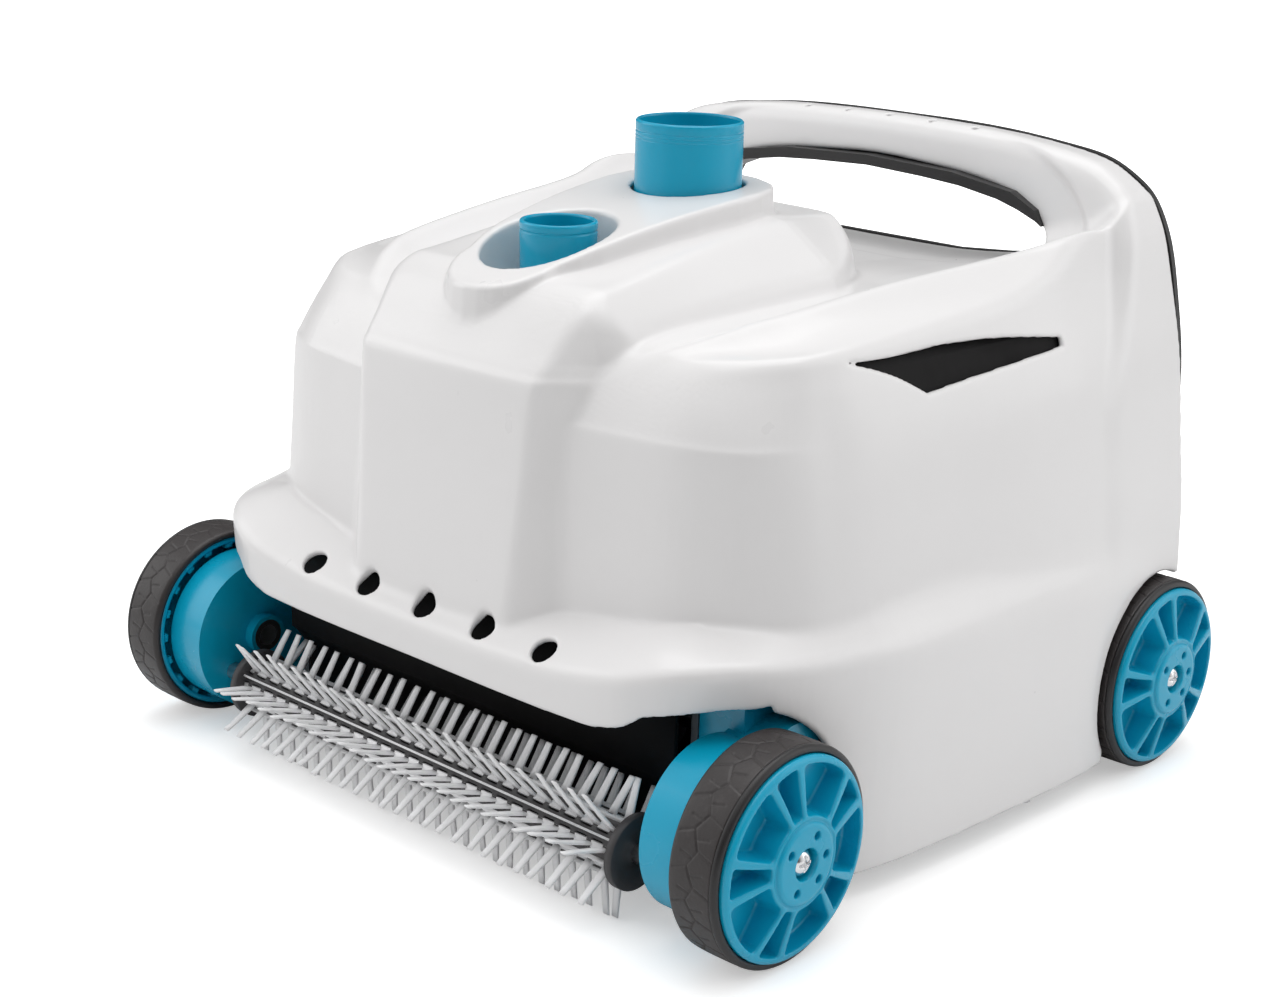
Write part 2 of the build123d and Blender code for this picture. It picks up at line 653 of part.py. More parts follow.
with BuildPart() as rear_axle:
    round_bar(-AXLE_END - BODY_GAP, AXLE_END + BODY_GAP, REAR_AXLE_D / 2, REAR_Y, AXLE_Z)
    for side in (1, -1):
        round_bar(side * (AXLE_END - SCREW_SHANK), side * (AXLE_END + 1),
                  SCREW_SHANK_R + RUNNING_FIT, REAR_Y, AXLE_Z, Mode.SUBTRACT)
        round_bar(side * (WHEELHOUSE_X + BODY_GAP), side * (WHEEL_IN + 3 - BODY_GAP),
                  REAR_AXLE_D / 2 + 2.5, REAR_Y, AXLE_Z)
save(rear_axle.part, "rear_axle")

with BuildPart() as rear_bush:
    with BuildSketch(Plane.YZ.offset(WHEEL_IN + 3)) as bush_ring:
        with Locations((REAR_Y, AXLE_Z)):
            Circle(REAR_BORE - RUNNING_FIT)
            Circle(REAR_AXLE_D / 2 + RUNNING_FIT, mode=Mode.SUBTRACT)
    extrude(bush_ring.sketch, amount=AXLE_END - WHEEL_IN - 3)
save(mirror(rear_bush.part, about=Plane.YZ), "rear_bush_left")
save(rear_bush.part, "rear_bush_right")

# ---- gear train -------------------------------------------------------------
PRESSURE_ANGLE = radians(20)
ADDENDUM = 0.85
DEDENDUM = 1.2


def involute(angle):
    return tan(angle) - angle


def gear_face(x, teeth, phase, y, z, bore):
    """A spur gear's face at x, with a tooth centred at the phase angle in degrees."""
    pitch_r = MODULE * teeth / 2
    base_r = pitch_r * cos(PRESSURE_ANGLE)
    tip_r = pitch_r + ADDENDUM * MODULE
    root_r = pitch_r - DEDENDUM * MODULE
    at_pitch = pi / (2 * teeth) - TOOTH_PLAY / (2 * pitch_r) + involute(PRESSURE_ANGLE)
    flank = [(root_r, at_pitch)]
    steps = 3
    start_r = max(base_r, root_r + 0.05)
    for i in range(steps + 1):
        r = start_r + (tip_r - start_r) * i / steps
        flank.append((r, at_pitch - involute(acos(base_r / r))))
    points = []
    for tooth in range(teeth):
        centre = radians(phase) + 2 * pi * tooth / teeth
        for r, half in flank:
            points.append((r * cos(centre - half), r * sin(centre - half)))
        for r, half in reversed(flank):
            points.append((r * cos(centre + half), r * sin(centre + half)))
    with BuildSketch(Plane.YZ.offset(x)) as face:
        with Locations((y, z)):
            Polygon(*points, align=None)
            Circle(bore, mode=Mode.SUBTRACT)
    return face.sketch


def away(origin, angle, teeth_a, teeth_b):
    """The centre of a gear that meshes with the one at origin, in the direction angle."""
    reach = MODULE * (teeth_a + teeth_b) / 2
    return (origin[0] + reach * cos(radians(angle)), origin[1] + reach * sin(radians(angle)))


def meshing(angle, teeth):
    """Phase of a gear whose tooth gap faces a neighbour that lies the other way."""
    return angle + 180 + 180 / teeth


AXLE = (FRONT_Y, AXLE_Z)
DRIVE = away(AXLE, DRIVE_ANGLE, WHEEL_TEETH, PINION_TEETH)
LAY = away(DRIVE, LAYSHAFT_ANGLE, DRIVE_TEETH, SMALL_TEETH)
TURBINE = away(LAY, TURBINE_ANGLE, LARGE_TEETH, TURBINE_TEETH)
BRUSH = away(AXLE, BRUSH_ANGLE, BRUSH_DRIVER_TEETH, BRUSH_TEETH)

BRUSH_GEAR_X = DRUM_IN + 7
WHEEL_GEAR_X = BRUSH_GEAR_X + GEAR_WIDTH + 0.6
STUB_IN = DRUM_IN - 5
SHAFT_R = SHAFT_D / 2
LAYSHAFT_R = LAYSHAFT_D / 2
BRUSH_SHAFT_R = BRUSH_SHAFT_D / 2
STUB_R = STUB_D / 2
STUB_BUSH_R = STUB_R + 2.5
BOSS_WALL = 2.0
GEAR_HUB_R = STUB_R + 4

with BuildPart() as wheel_gear:
    extrude(gear_face(BRUSH_GEAR_X, BRUSH_DRIVER_TEETH, BRUSH_ANGLE, *AXLE, STUB_R + RUNNING_FIT),
            amount=WHEEL_GEAR_X - BRUSH_GEAR_X)
    extrude(gear_face(WHEEL_GEAR_X, WHEEL_TEETH, DRIVE_ANGLE, *AXLE, STUB_R + RUNNING_FIT),
            amount=GEAR_WIDTH)
    round_bar(WHEEL_GEAR_X, DRUM_OUT + DRUM_COVER + BODY_GAP, GEAR_HUB_R, *AXLE)
    round_bar(BRUSH_GEAR_X - 1, WHEEL_IN + 3, STUB_R + RUNNING_FIT, *AXLE, Mode.SUBTRACT)
save(mirror(wheel_gear.part, about=Plane.YZ), "wheel_gear_left")
save(wheel_gear.part, "wheel_gear_right")

with BuildPart() as stub_axle:
    round_bar(STUB_IN, AXLE_END, STUB_R, *AXLE)
    round_bar(AXLE_END - SCREW_SHANK, AXLE_END + 1, SCREW_SHANK_R + RUNNING_FIT, *AXLE,
              Mode.SUBTRACT)
save(mirror(stub_axle.part, about=Plane.YZ), "stub_axle_left")
save(stub_axle.part, "stub_axle_right")

PINION_END = WHEEL_GEAR_X + GEAR_WIDTH
with BuildPart() as drive_shaft:
    round_bar(-PINION_END - 1, PINION_END + 1, SHAFT_R, *DRIVE)
save(drive_shaft.part, "drive_shaft")

pinions = []
for side in (1, -1):
    x = WHEEL_GEAR_X if side > 0 else -PINION_END
    with BuildPart() as pinion:
        extrude(gear_face(x, PINION_TEETH, meshing(DRIVE_ANGLE, PINION_TEETH), *DRIVE,
                          SHAFT_R + RUNNING_FIT), amount=GEAR_WIDTH)
    pinions.append(pinion.part.solid())
save(Compound(children=pinions), "drive_pinions")

LAY_X = GEARBOX_X + 2
SMALL_X = LAY_X + GEAR_WIDTH + 2
with BuildPart() as drive_gear:
    extrude(gear_face(SMALL_X, DRIVE_TEETH, LAYSHAFT_ANGLE, *DRIVE, SHAFT_R + RUNNING_FIT),
            amount=GEAR_WIDTH)
    round_bar(SMALL_X - 1.5, SMALL_X, SHAFT_R + 3, *DRIVE)
    round_bar(SMALL_X - 2, SMALL_X + GEAR_WIDTH + 1, SHAFT_R + RUNNING_FIT, *DRIVE, Mode.SUBTRACT)
save(drive_gear.part, "drive_gear")

with BuildPart() as lay_gear:
    extrude(gear_face(LAY_X, LARGE_TEETH, TURBINE_ANGLE, *LAY, LAYSHAFT_R + RUNNING_FIT),
            amount=GEAR_WIDTH)
    extrude(gear_face(LAY_X + GEAR_WIDTH, SMALL_TEETH, meshing(LAYSHAFT_ANGLE, SMALL_TEETH), *LAY,
                      LAYSHAFT_R + RUNNING_FIT), amount=SMALL_X - LAY_X)
save(lay_gear.part, "lay_gear")

GEARBOX_OUT = GEARBOX_X + GEARBOX_DEPTH
with BuildPart() as lay_shaft:
    round_bar(GEARBOX_X - CASE_WALL, GEARBOX_OUT + CASE_WALL, LAYSHAFT_R, *LAY)
save(lay_shaft.part, "lay_shaft")

# ---- turbine ----------------------------------------------------------------
CASE_R = TURBINE_R + TURBINE_CASE_GAP
CASE_HALF = TURBINE_HALF + TURBINE_CASE_GAP
CASE_OUT = GEARBOX_X - CASE_WALL
TURBINE_HUB_R = 9.0
BLADE = 2.2
with BuildPart() as turbine_wheel:
    round_bar(-TURBINE_HALF, TURBINE_HALF, TURBINE_HUB_R, *TURBINE)
    with BuildSketch(Plane.YZ.offset(-TURBINE_HALF)) as blades:
        with Locations(TURBINE):
            with PolarLocations((TURBINE_HUB_R + TURBINE_R) / 2 - 1, TURBINE_BLADES):
                Rectangle(TURBINE_R - TURBINE_HUB_R + 2, BLADE)
    extrude(blades.sketch, amount=2 * TURBINE_HALF)
    round_bar(-TURBINE_HALF - 1, TURBINE_HALF + 1, LAYSHAFT_R + RUNNING_FIT, *TURBINE,
              Mode.SUBTRACT)
save(turbine_wheel.part, "turbine_wheel")

with BuildPart() as turbine_shaft:
    round_bar(-CASE_HALF - CASE_WALL, LAY_X + GEAR_WIDTH + 1, LAYSHAFT_R, *TURBINE)
save(turbine_shaft.part, "turbine_shaft")

with BuildPart() as turbine_pinion:
    extrude(gear_face(LAY_X, TURBINE_TEETH, meshing(TURBINE_ANGLE, TURBINE_TEETH), *TURBINE,
                      LAYSHAFT_R + RUNNING_FIT), amount=GEAR_WIDTH)
save(turbine_pinion.part, "turbine_pinion")

PLATE_TOP_Z = SKIRT_Z + PLATE
FEED_Y = -24.0
FEED_R = FEED_PIPE_D / 2
with BuildPart() as turbine_housing:
    round_bar(-CASE_HALF - CASE_WALL, CASE_HALF, CASE_R + CASE_WALL, *TURBINE)
    upright(0, FEED_Y, TURBINE[1], MANIFOLD_BOTTOM_Z - BODY_GAP, FEED_R)
    block((-CASE_HALF + 4, CASE_HALF - 4), (TURBINE[0] - 8, TURBINE[0] + 8),
          (PLATE_TOP_Z, TURBINE[1] - CASE_R))
    round_bar(-CASE_HALF, CASE_HALF + 1, CASE_R, *TURBINE, Mode.SUBTRACT)
    upright(0, FEED_Y, TURBINE[1], MANIFOLD_BOTTOM_Z + 1, FEED_R - PIPE_WALL, Mode.SUBTRACT)
    block((-CASE_HALF + 8, CASE_HALF - 8), (TURBINE[0] - 34, TURBINE[0] - 14),
          (PLATE_TOP_Z, TURBINE[1] - 20), Mode.SUBTRACT)
    round_bar(-CASE_HALF - CASE_WALL - 1, 0, LAYSHAFT_R + RUNNING_FIT, *TURBINE, Mode.SUBTRACT)
save(turbine_housing.part, "turbine_housing")

POSTS = [(LAY[0] + 20, LAY[1] - 47), (LAY[0] - 6, LAY[1] + 40), (DRIVE[0] + 8, DRIVE[1] - 31)]
POST_R = 4.0


def gearbox_plate(x, thickness):
    """A bearing plate that spans the three shafts and the posts."""
    with BuildSketch(Plane.YZ.offset(x)) as outline:
        for centre in [DRIVE, LAY, TURBINE] + POSTS:
            with Locations(centre):
                Circle(POST_R + 5)
        make_hull()
    extrude(outline.sketch, amount=thickness)


def gearbox_bores():
    for centre, radius in ((DRIVE, SHAFT_R), (LAY, LAYSHAFT_R), (TURBINE, LAYSHAFT_R)):
        round_bar(0, GEARBOX_OUT + 9, radius + RUNNING_FIT, *centre, Mode.SUBTRACT)


with BuildPart() as turbine_cover:
    round_bar(CASE_HALF, CASE_OUT + CASE_WALL, CASE_R + CASE_WALL, *TURBINE)
    gearbox_plate(CASE_OUT, CASE_WALL)
    gearbox_bores()
save(turbine_cover.part, "turbine_cover")

with BuildPart() as gearbox_bearing_plate:
    gearbox_plate(GEARBOX_OUT, CASE_WALL)
    for centre in POSTS:
        round_bar(GEARBOX_X, GEARBOX_OUT, POST_R, *centre)
    foot_z = POSTS[0][1]
    block((GEARBOX_OUT, GEARBOX_OUT + CASE_WALL), (POSTS[2][0], POSTS[0][0]),
          (PLATE_TOP_Z, foot_z + 4))
    block((GEARBOX_OUT - 9, GEARBOX_OUT + CASE_WALL), (POSTS[2][0], POSTS[0][0]),
          (PLATE_TOP_Z, PLATE_TOP_Z + CASE_WALL))
    gearbox_bores()
save(gearbox_bearing_plate.part, "gearbox_plate")

# ---- hose inlet, manifold and thrust nozzle ---------------------------------
TUBE_R = TUBE_D / 2
TAIL_R = TAIL_D / 2
FLANGE_R = TUBE_R + TUBE_FLANGE_LIP
FLANGE_TOP_Z = TUBE_FLANGE_Z + TUBE_FLANGE
SOCKET_Z = TUBE_FLANGE_Z - BODY_GAP
COLLAR_R = COLLAR_D / 2
TUBE_STEP = 1.0
TUBE_STEP_Z = TUBE_TOP_Z - 6.0
RELIEF_WIDTH = 2.0
RELIEF_DEPTH = 0.4
RELIEF_Z = TUBE_TOP_Z - CUFF_LENGTH - RELIEF_WIDTH
with BuildPart() as hose_inlet:
    upright(0, TUBE_Y, FLANGE_TOP_Z, TUBE_TOP_Z, TUBE_R)
    upright(0, TUBE_Y, TUBE_FLANGE_Z, FLANGE_TOP_Z, FLANGE_R)
    upright(0, TUBE_Y, TUBE_FLANGE_Z - TAIL_LENGTH, TUBE_FLANGE_Z, TAIL_R)
    upright(0, TUBE_Y, RELIEF_Z, RELIEF_Z + RELIEF_WIDTH, TUBE_R + 1, Mode.SUBTRACT)
    upright(0, TUBE_Y, RELIEF_Z, RELIEF_Z + RELIEF_WIDTH, TUBE_R - RELIEF_DEPTH)
    upright(0, TUBE_Y, FLANGE_TOP_Z, TUBE_TOP_Z + 1, TUBE_R - TUBE_WALL, Mode.SUBTRACT)
    upright(0, TUBE_Y, TUBE_STEP_Z, TUBE_TOP_Z + 1, TUBE_R - TUBE_WALL + TUBE_STEP, Mode.SUBTRACT)
    upright(0, TUBE_Y, TUBE_FLANGE_Z - TAIL_LENGTH - 1, FLANGE_TOP_Z + 1, TAIL_R - TUBE_WALL,
            Mode.SUBTRACT)
save(hose_inlet.part, "hose_inlet")

MANIFOLD_LIP = 4.6
BORE_R = TAIL_R + SEAL_SECTION + 0.1
BORE_BOTTOM_Z = TUBE_FLANGE_Z - TAIL_LENGTH - 4
NECK_Z = BORE_BOTTOM_Z - 3
with BuildPart() as swivel_collar:
    upright(0, TUBE_Y, SOCKET_Z, FLANGE_TOP_Z + BODY_GAP + COLLAR_HEIGHT, COLLAR_R)
    upright(0, TUBE_Y, SOCKET_Z - 1, FLANGE_TOP_Z + BODY_GAP, FLANGE_R + BODY_GAP, Mode.SUBTRACT)
    upright(0, TUBE_Y, SOCKET_Z - 1, TUBE_TOP_Z, TUBE_R + RUNNING_FIT, Mode.SUBTRACT)
save(swivel_collar.part, "swivel_collar")

SEAL_Z = TUBE_FLANGE_Z - TAIL_LENGTH / 2
with BuildPart() as inlet_seal:
    with BuildSketch(Plane.XZ) as seal_section:
        with Locations((TAIL_R + 0.05 + SEAL_SECTION / 2, SEAL_Z)):
            RectangleRounded(SEAL_SECTION, SEAL_SECTION, SEAL_SECTION * 0.3)
    revolve(seal_section.sketch, axis=Axis.Z)
save(place(inlet_seal.part, TUBE_Y, 0), "inlet_seal")

PLENUM_R = 35.0
BRANCH_Z = 190.0
BRANCH_R = BRANCH_PIPE_D / 2
NOZZLE_PLENUM_R = BALL_D / 2 + 2
SEAT_BOTTOM_Z = BALL_Z - 12
JET_Z = 176.0
JET_Y = -20.0
JET_R = JET_D / 2
with BuildPart() as manifold:
    upright(0, TUBE_Y, MANIFOLD_BOTTOM_Z, NECK_Z, PLENUM_R)
    upright(0, TUBE_Y, NECK_Z, SOCKET_Z, BORE_R + PIPE_WALL)
    upright(0, TUBE_Y, SOCKET_Z - MANIFOLD_LIP, SOCKET_Z, COLLAR_R)
    upright(0, NOZZLE_Y, BRANCH_Z - 15, SEAT_BOTTOM_Z, NOZZLE_PLENUM_R)
    with BuildSketch(section_y(0)) as branch:
        with Locations((0, BRANCH_Z)):
            Circle(BRANCH_R - 2)
    extrude(branch.sketch, amount=-NOZZLE_Y)
    round_bar(-PLENUM_R, PLENUM_R, JET_R + PIPE_WALL, JET_Y, JET_Z)
    upright(0, TUBE_Y, BORE_BOTTOM_Z, SOCKET_Z + 1, BORE_R, Mode.SUBTRACT)
    upright(0, TUBE_Y, MANIFOLD_BOTTOM_Z + PLATE, NECK_Z - PLATE, PLENUM_R - 6, Mode.SUBTRACT)
    upright(0, TUBE_Y, NECK_Z - PLATE - 1, SOCKET_Z, BORE_R - 4, Mode.SUBTRACT)
    upright(0, NOZZLE_Y, BRANCH_Z - 12, SEAT_BOTTOM_Z + 1, NOZZLE_PLENUM_R - 4, Mode.SUBTRACT)
    with BuildSketch(section_y(0)) as branch_bore:
        with Locations((0, BRANCH_Z)):
            Circle(BRANCH_R - 4)
    extrude(branch_bore.sketch, amount=-NOZZLE_Y, mode=Mode.SUBTRACT)
    upright(0, FEED_Y, MANIFOLD_BOTTOM_Z - 1, MANIFOLD_BOTTOM_Z + 9, FEED_R - PIPE_WALL - 3,
            Mode.SUBTRACT)
    round_bar(-PLENUM_R - 1, PLENUM_R + 1, JET_R + RUNNING_FIT, JET_Y, JET_Z, Mode.SUBTRACT)
save(manifold.part, "inlet_manifold")

BALL_R = BALL_D / 2
BALL_BOTTOM_Z = BALL_Z - 10.5
NOZZLE_R = NOZZLE_D / 2
NOZZLE_BORE_R = NOZZLE_R - NOZZLE_WALL
with BuildPart() as thrust_nozzle:
    with Locations((0, NOZZLE_Y, BALL_Z)):
        Sphere(BALL_R)
    split(bisect_by=Plane.XY.offset(BALL_BOTTOM_Z), keep=Keep.TOP)
    split(bisect_by=Plane.XY.offset(BALL_Z + BALL_R * 0.6), keep=Keep.BOTTOM)
    upright(0, NOZZLE_Y, BALL_Z, NOZZLE_TOP_Z, NOZZLE_R)
    upright(0, NOZZLE_Y, BALL_BOTTOM_Z - 1, NOZZLE_TOP_Z + 1, NOZZLE_BORE_R - 2, Mode.SUBTRACT)
    upright(0, NOZZLE_Y, BALL_Z + 6, NOZZLE_TOP_Z + 1, NOZZLE_BORE_R, Mode.SUBTRACT)
save(thrust_nozzle.part, "thrust_nozzle")

SEAT_R = BALL_R + 5


def ball_ring(z_start, z_end):
    """A socket ring round the nozzle's ball."""
    upright(0, NOZZLE_Y, z_start, z_end, SEAT_R)
    with BuildPart(mode=Mode.PRIVATE) as hollow:
        with Locations((0, NOZZLE_Y, BALL_Z)):
            Sphere(BALL_R + RUNNING_FIT)
    add(hollow.part, mode=Mode.SUBTRACT)


with BuildPart() as nozzle_seat:
    ball_ring(SEAT_BOTTOM_Z, BALL_Z)
save(nozzle_seat.part, "nozzle_seat")
with BuildPart() as nozzle_retainer:
    ball_ring(BALL_Z, RECESS_FLOOR_Z)
save(nozzle_retainer.part, "nozzle_retainer")

# ---- throats and jets -------------------------------------------------------
THROAT_HALF_X = THROAT_WIDTH / 2
THROAT_HALF_Y = THROAT_DEPTH / 2
OUTLET_Z = (100.0, 134.0)
JET_TIP_Z = 26.0
jets = []
for side, name in ((1, "right"), (-1, "left")):
    cx = side * THROAT_X
    with BuildPart() as throat:
        block((cx - THROAT_HALF_X, cx + THROAT_HALF_X),
              (THROAT_Y - THROAT_HALF_Y, THROAT_Y + THROAT_HALF_Y), (PLATE_TOP_Z, THROAT_TOP_Z))
        block((cx - THROAT_HALF_X + 3, cx + THROAT_HALF_X - 3),
              (THROAT_Y, DRAWER_FRONT_Y - BODY_GAP), (OUTLET_Z[0] - 2, OUTLET_Z[1] + 2))
        block((cx - THROAT_HALF_X + THROAT_WALL, cx + THROAT_HALF_X - THROAT_WALL),
              (THROAT_Y - THROAT_HALF_Y + THROAT_WALL, THROAT_Y + THROAT_HALF_Y - THROAT_WALL),
              (PLATE_TOP_Z - 1, THROAT_TOP_Z - THROAT_WALL), Mode.SUBTRACT)
        block((cx - THROAT_HALF_X + 5, cx + THROAT_HALF_X - 5),
              (THROAT_Y, DRAWER_FRONT_Y + 1), OUTLET_Z, Mode.SUBTRACT)
        round_bar(cx, cx + side * THROAT_WIDTH, JET_R + RUNNING_FIT, JET_Y, JET_TIP_Z,
                  Mode.SUBTRACT)
    save(throat.part, "suction_throat_" + name)

    down_x = side * (THROAT_X + THROAT_HALF_X + JET_D)
    with BuildPart() as jet:
        round_bar(side * (PLENUM_R - 6), down_x, JET_R, JET_Y, JET_Z)
        upright(down_x, JET_Y, JET_TIP_Z, JET_Z, JET_R)
        round_bar(cx + side * (THROAT_HALF_X - 8), down_x, JET_R, JET_Y, JET_TIP_Z)
        with Locations((down_x, JET_Y, JET_Z), (down_x, JET_Y, JET_TIP_Z)):
            Sphere(JET_R)
    jets.append(jet.part.solid())
save(Compound(children=jets), "jet_pipes")

# ---- drive arms -------------------------------------------------------------
LOBE_WALL = 2.4


def arm_outline(x, drum_r, lobe_r):
    """The drum and the lobe round the drive shaft, joined by tangent lines."""
    with BuildSketch(Plane.YZ.offset(x)) as outline:
        with Locations(AXLE):
            Circle(drum_r * 0.8)
        with Locations(DRIVE):
            Circle(lobe_r)
        make_hull()
        with Locations(AXLE):
            Circle(drum_r)
    return outline.sketch


BRACKET_TOP_Z = 91.0
with BuildPart() as arm:
    extrude(arm_outline(DRUM_IN, DRUM_R, LOBE_R), amount=DRUM_OUT - DRUM_IN)
    round_bar(ARM_IN, DRUM_IN, LOBE_R, *DRIVE)
    block((ARM_IN, DRUM_IN + 8), (DRIVE[0] - LOBE_R, DRIVE[0] + LOBE_R), (DRIVE[1], BRACKET_TOP_Z))
    round_bar(STUB_IN, BRUSH_GEAR_X - 1, STUB_BUSH_R + BOSS_WALL, *AXLE)
    extrude(arm_outline(DRUM_IN + DRUM_WALL, DRUM_R - DRUM_WALL, LOBE_R - LOBE_WALL),
            amount=DRUM_OUT - DRUM_IN, mode=Mode.SUBTRACT)
    round_bar(DRUM_IN + 1, BRUSH_GEAR_X - 1, STUB_BUSH_R + BOSS_WALL, *AXLE)
    round_bar(STUB_IN - 1, BRUSH_GEAR_X, STUB_BUSH_R + RUNNING_FIT, *AXLE, Mode.SUBTRACT)
    round_bar(ARM_IN - 9, DRUM_OUT, SHAFT_R + RUNNING_FIT, *DRIVE, Mode.SUBTRACT)
    round_bar(ARM_IN - 9, DRUM_OUT, BRUSH_SHAFT_R + RUNNING_FIT, *BRUSH, Mode.SUBTRACT)
save(mirror(arm.part, about=Plane.YZ), "drive_arm_left")
save(arm.part, "drive_arm_right")

with BuildPart() as drum_cover:
    extrude(arm_outline(DRUM_OUT, DRUM_R, LOBE_R), amount=DRUM_COVER)
    round_bar(DRUM_OUT - 1, DRUM_OUT + DRUM_COVER + 1, GEAR_HUB_R + RUNNING_FIT, *AXLE,
              Mode.SUBTRACT)
save(mirror(drum_cover.part, about=Plane.YZ), "drum_cover_left")
save(drum_cover.part, "drum_cover_right")

bushes = []
for x in (STUB_IN, -BRUSH_GEAR_X + 1):
    with BuildPart() as bush:
        with BuildSketch(Plane.YZ.offset(x)) as bush_face:
            with Locations(AXLE):
                Circle(STUB_BUSH_R)
                Circle(STUB_R + RUNNING_FIT, mode=Mode.SUBTRACT)
        extrude(bush_face.sketch, amount=BRUSH_GEAR_X - 1 - STUB_IN)
    bushes.append(bush.part.solid())
save(Compound(children=bushes), "stub_bushes")

# ---- brush ------------------------------------------------------------------
GROOVE_PLAY = 0.05
BRUSH_END = BRUSH_HALF + BRUSH_FLANGE
with BuildPart() as brush_shaft:
    round_bar(-BRUSH_GEAR_X - GEAR_WIDTH, BRUSH_GEAR_X + GEAR_WIDTH, BRUSH_SHAFT_R, *BRUSH)
save(brush_shaft.part, "brush_shaft")

with BuildPart() as brush_core:
    round_bar(-BRUSH_HALF, BRUSH_HALF, BRUSH_CORE_R, *BRUSH)
    with BuildSketch(Plane.YZ.offset(-BRUSH_HALF - 1)) as grooves:
        with Locations(BRUSH):
            with PolarLocations(BRUSH_CORE_R, BRISTLE_ROWS):
                Rectangle(2 * (RAIL_DEPTH + GROOVE_PLAY), RAIL_WIDTH + 2 * GROOVE_PLAY)
    extrude(grooves.sketch, amount=2 * BRUSH_HALF + 2, mode=Mode.SUBTRACT)
    for side in (1, -1):
        round_bar(side * BRUSH_HALF, side * BRUSH_END, BRUSH_FLANGE_R, *BRUSH)
        round_bar(side * BRUSH_END, side * (DRUM_IN - BODY_GAP), BRUSH_SHAFT_R + 2.5, *BRUSH)
    round_bar(-DRUM_IN, DRUM_IN, BRUSH_SHAFT_R + RUNNING_FIT, *BRUSH, Mode.SUBTRACT)
save(brush_core.part, "brush_core")

with BuildPart() as bristle_row:
    rail_top = BRUSH_CORE_R
    block((-BRUSH_HALF + 0.3, BRUSH_HALF - 0.3), (-RAIL_WIDTH / 2, RAIL_WIDTH / 2),
          (rail_top - RAIL_DEPTH, rail_top))
    tuft_length = BRUSH_R - rail_top + 1
    pitch = (2 * BRUSH_HALF - 10) / (TUFTS - 1)
    spots = [(-BRUSH_HALF + 5 + i * pitch, 0, rail_top - 1 + tuft_length / 2) for i in range(TUFTS)]
    with Locations(*spots):
        Cone(TUFT_D / 2, TUFT_TIP_D / 2, tuft_length)
rows = []
for i in range(BRISTLE_ROWS):
    turned = bristle_row.part.rotate(Axis.X, -90 + i * 360 / BRISTLE_ROWS)
    rows.append(turned.moved(Location((0, BRUSH[0], BRUSH[1]))).solid())
save(Compound(children=rows), "brush_bristles")

brush_gears = []
for x in (BRUSH_GEAR_X, -BRUSH_GEAR_X - GEAR_WIDTH):
    with BuildPart() as brush_gear:
        extrude(gear_face(x, BRUSH_TEETH, meshing(BRUSH_ANGLE, BRUSH_TEETH), *BRUSH,
                          BRUSH_SHAFT_R + RUNNING_FIT), amount=GEAR_WIDTH)
    brush_gears.append(brush_gear.part.solid())
save(Compound(children=brush_gears), "brush_gears")

# ---- chassis and brush hood -------------------------------------------------
HOOD_R = BRUSH_R + 3
HOOD_WALL = 2.5
WING_IN = BRUSH_END - 0.7
WING_OUT = ARM_IN - BODY_GAP
HOOD_HALF = WING_IN - BODY_GAP
HOOD_TOP_Z = 94.0
HOOD_FACE_Y = BRUSH[0] - 2.5
with BuildPart() as hood:
    with BuildSketch(Plane.YZ.offset(-HOOD_HALF)) as hood_profile:
        with Locations(BRUSH):
            Circle(HOOD_R + HOOD_WALL)
            Circle(HOOD_R, mode=Mode.SUBTRACT)
        with Locations((BRUSH[0] - 50, BRUSH[1])):
            Rectangle(100, 120, mode=Mode.SUBTRACT)
        with Locations((BRUSH[0], SKIRT_Z - 50)):
            Rectangle(120, 100, mode=Mode.SUBTRACT)
        with Locations((HOOD_FACE_Y + HOOD_WALL / 2, (BRUSH[1] + HOOD_R + HOOD_TOP_Z) / 2)):
            Rectangle(HOOD_WALL, HOOD_TOP_Z - BRUSH[1] - HOOD_R)
        with Locations((BRUSH[0], BRUSH[1] + HOOD_R + HOOD_WALL / 2)):
            Rectangle(5, HOOD_WALL)
    extrude(hood_profile.sketch, amount=2 * HOOD_HALF)
save(hood.part, "brush_hood")

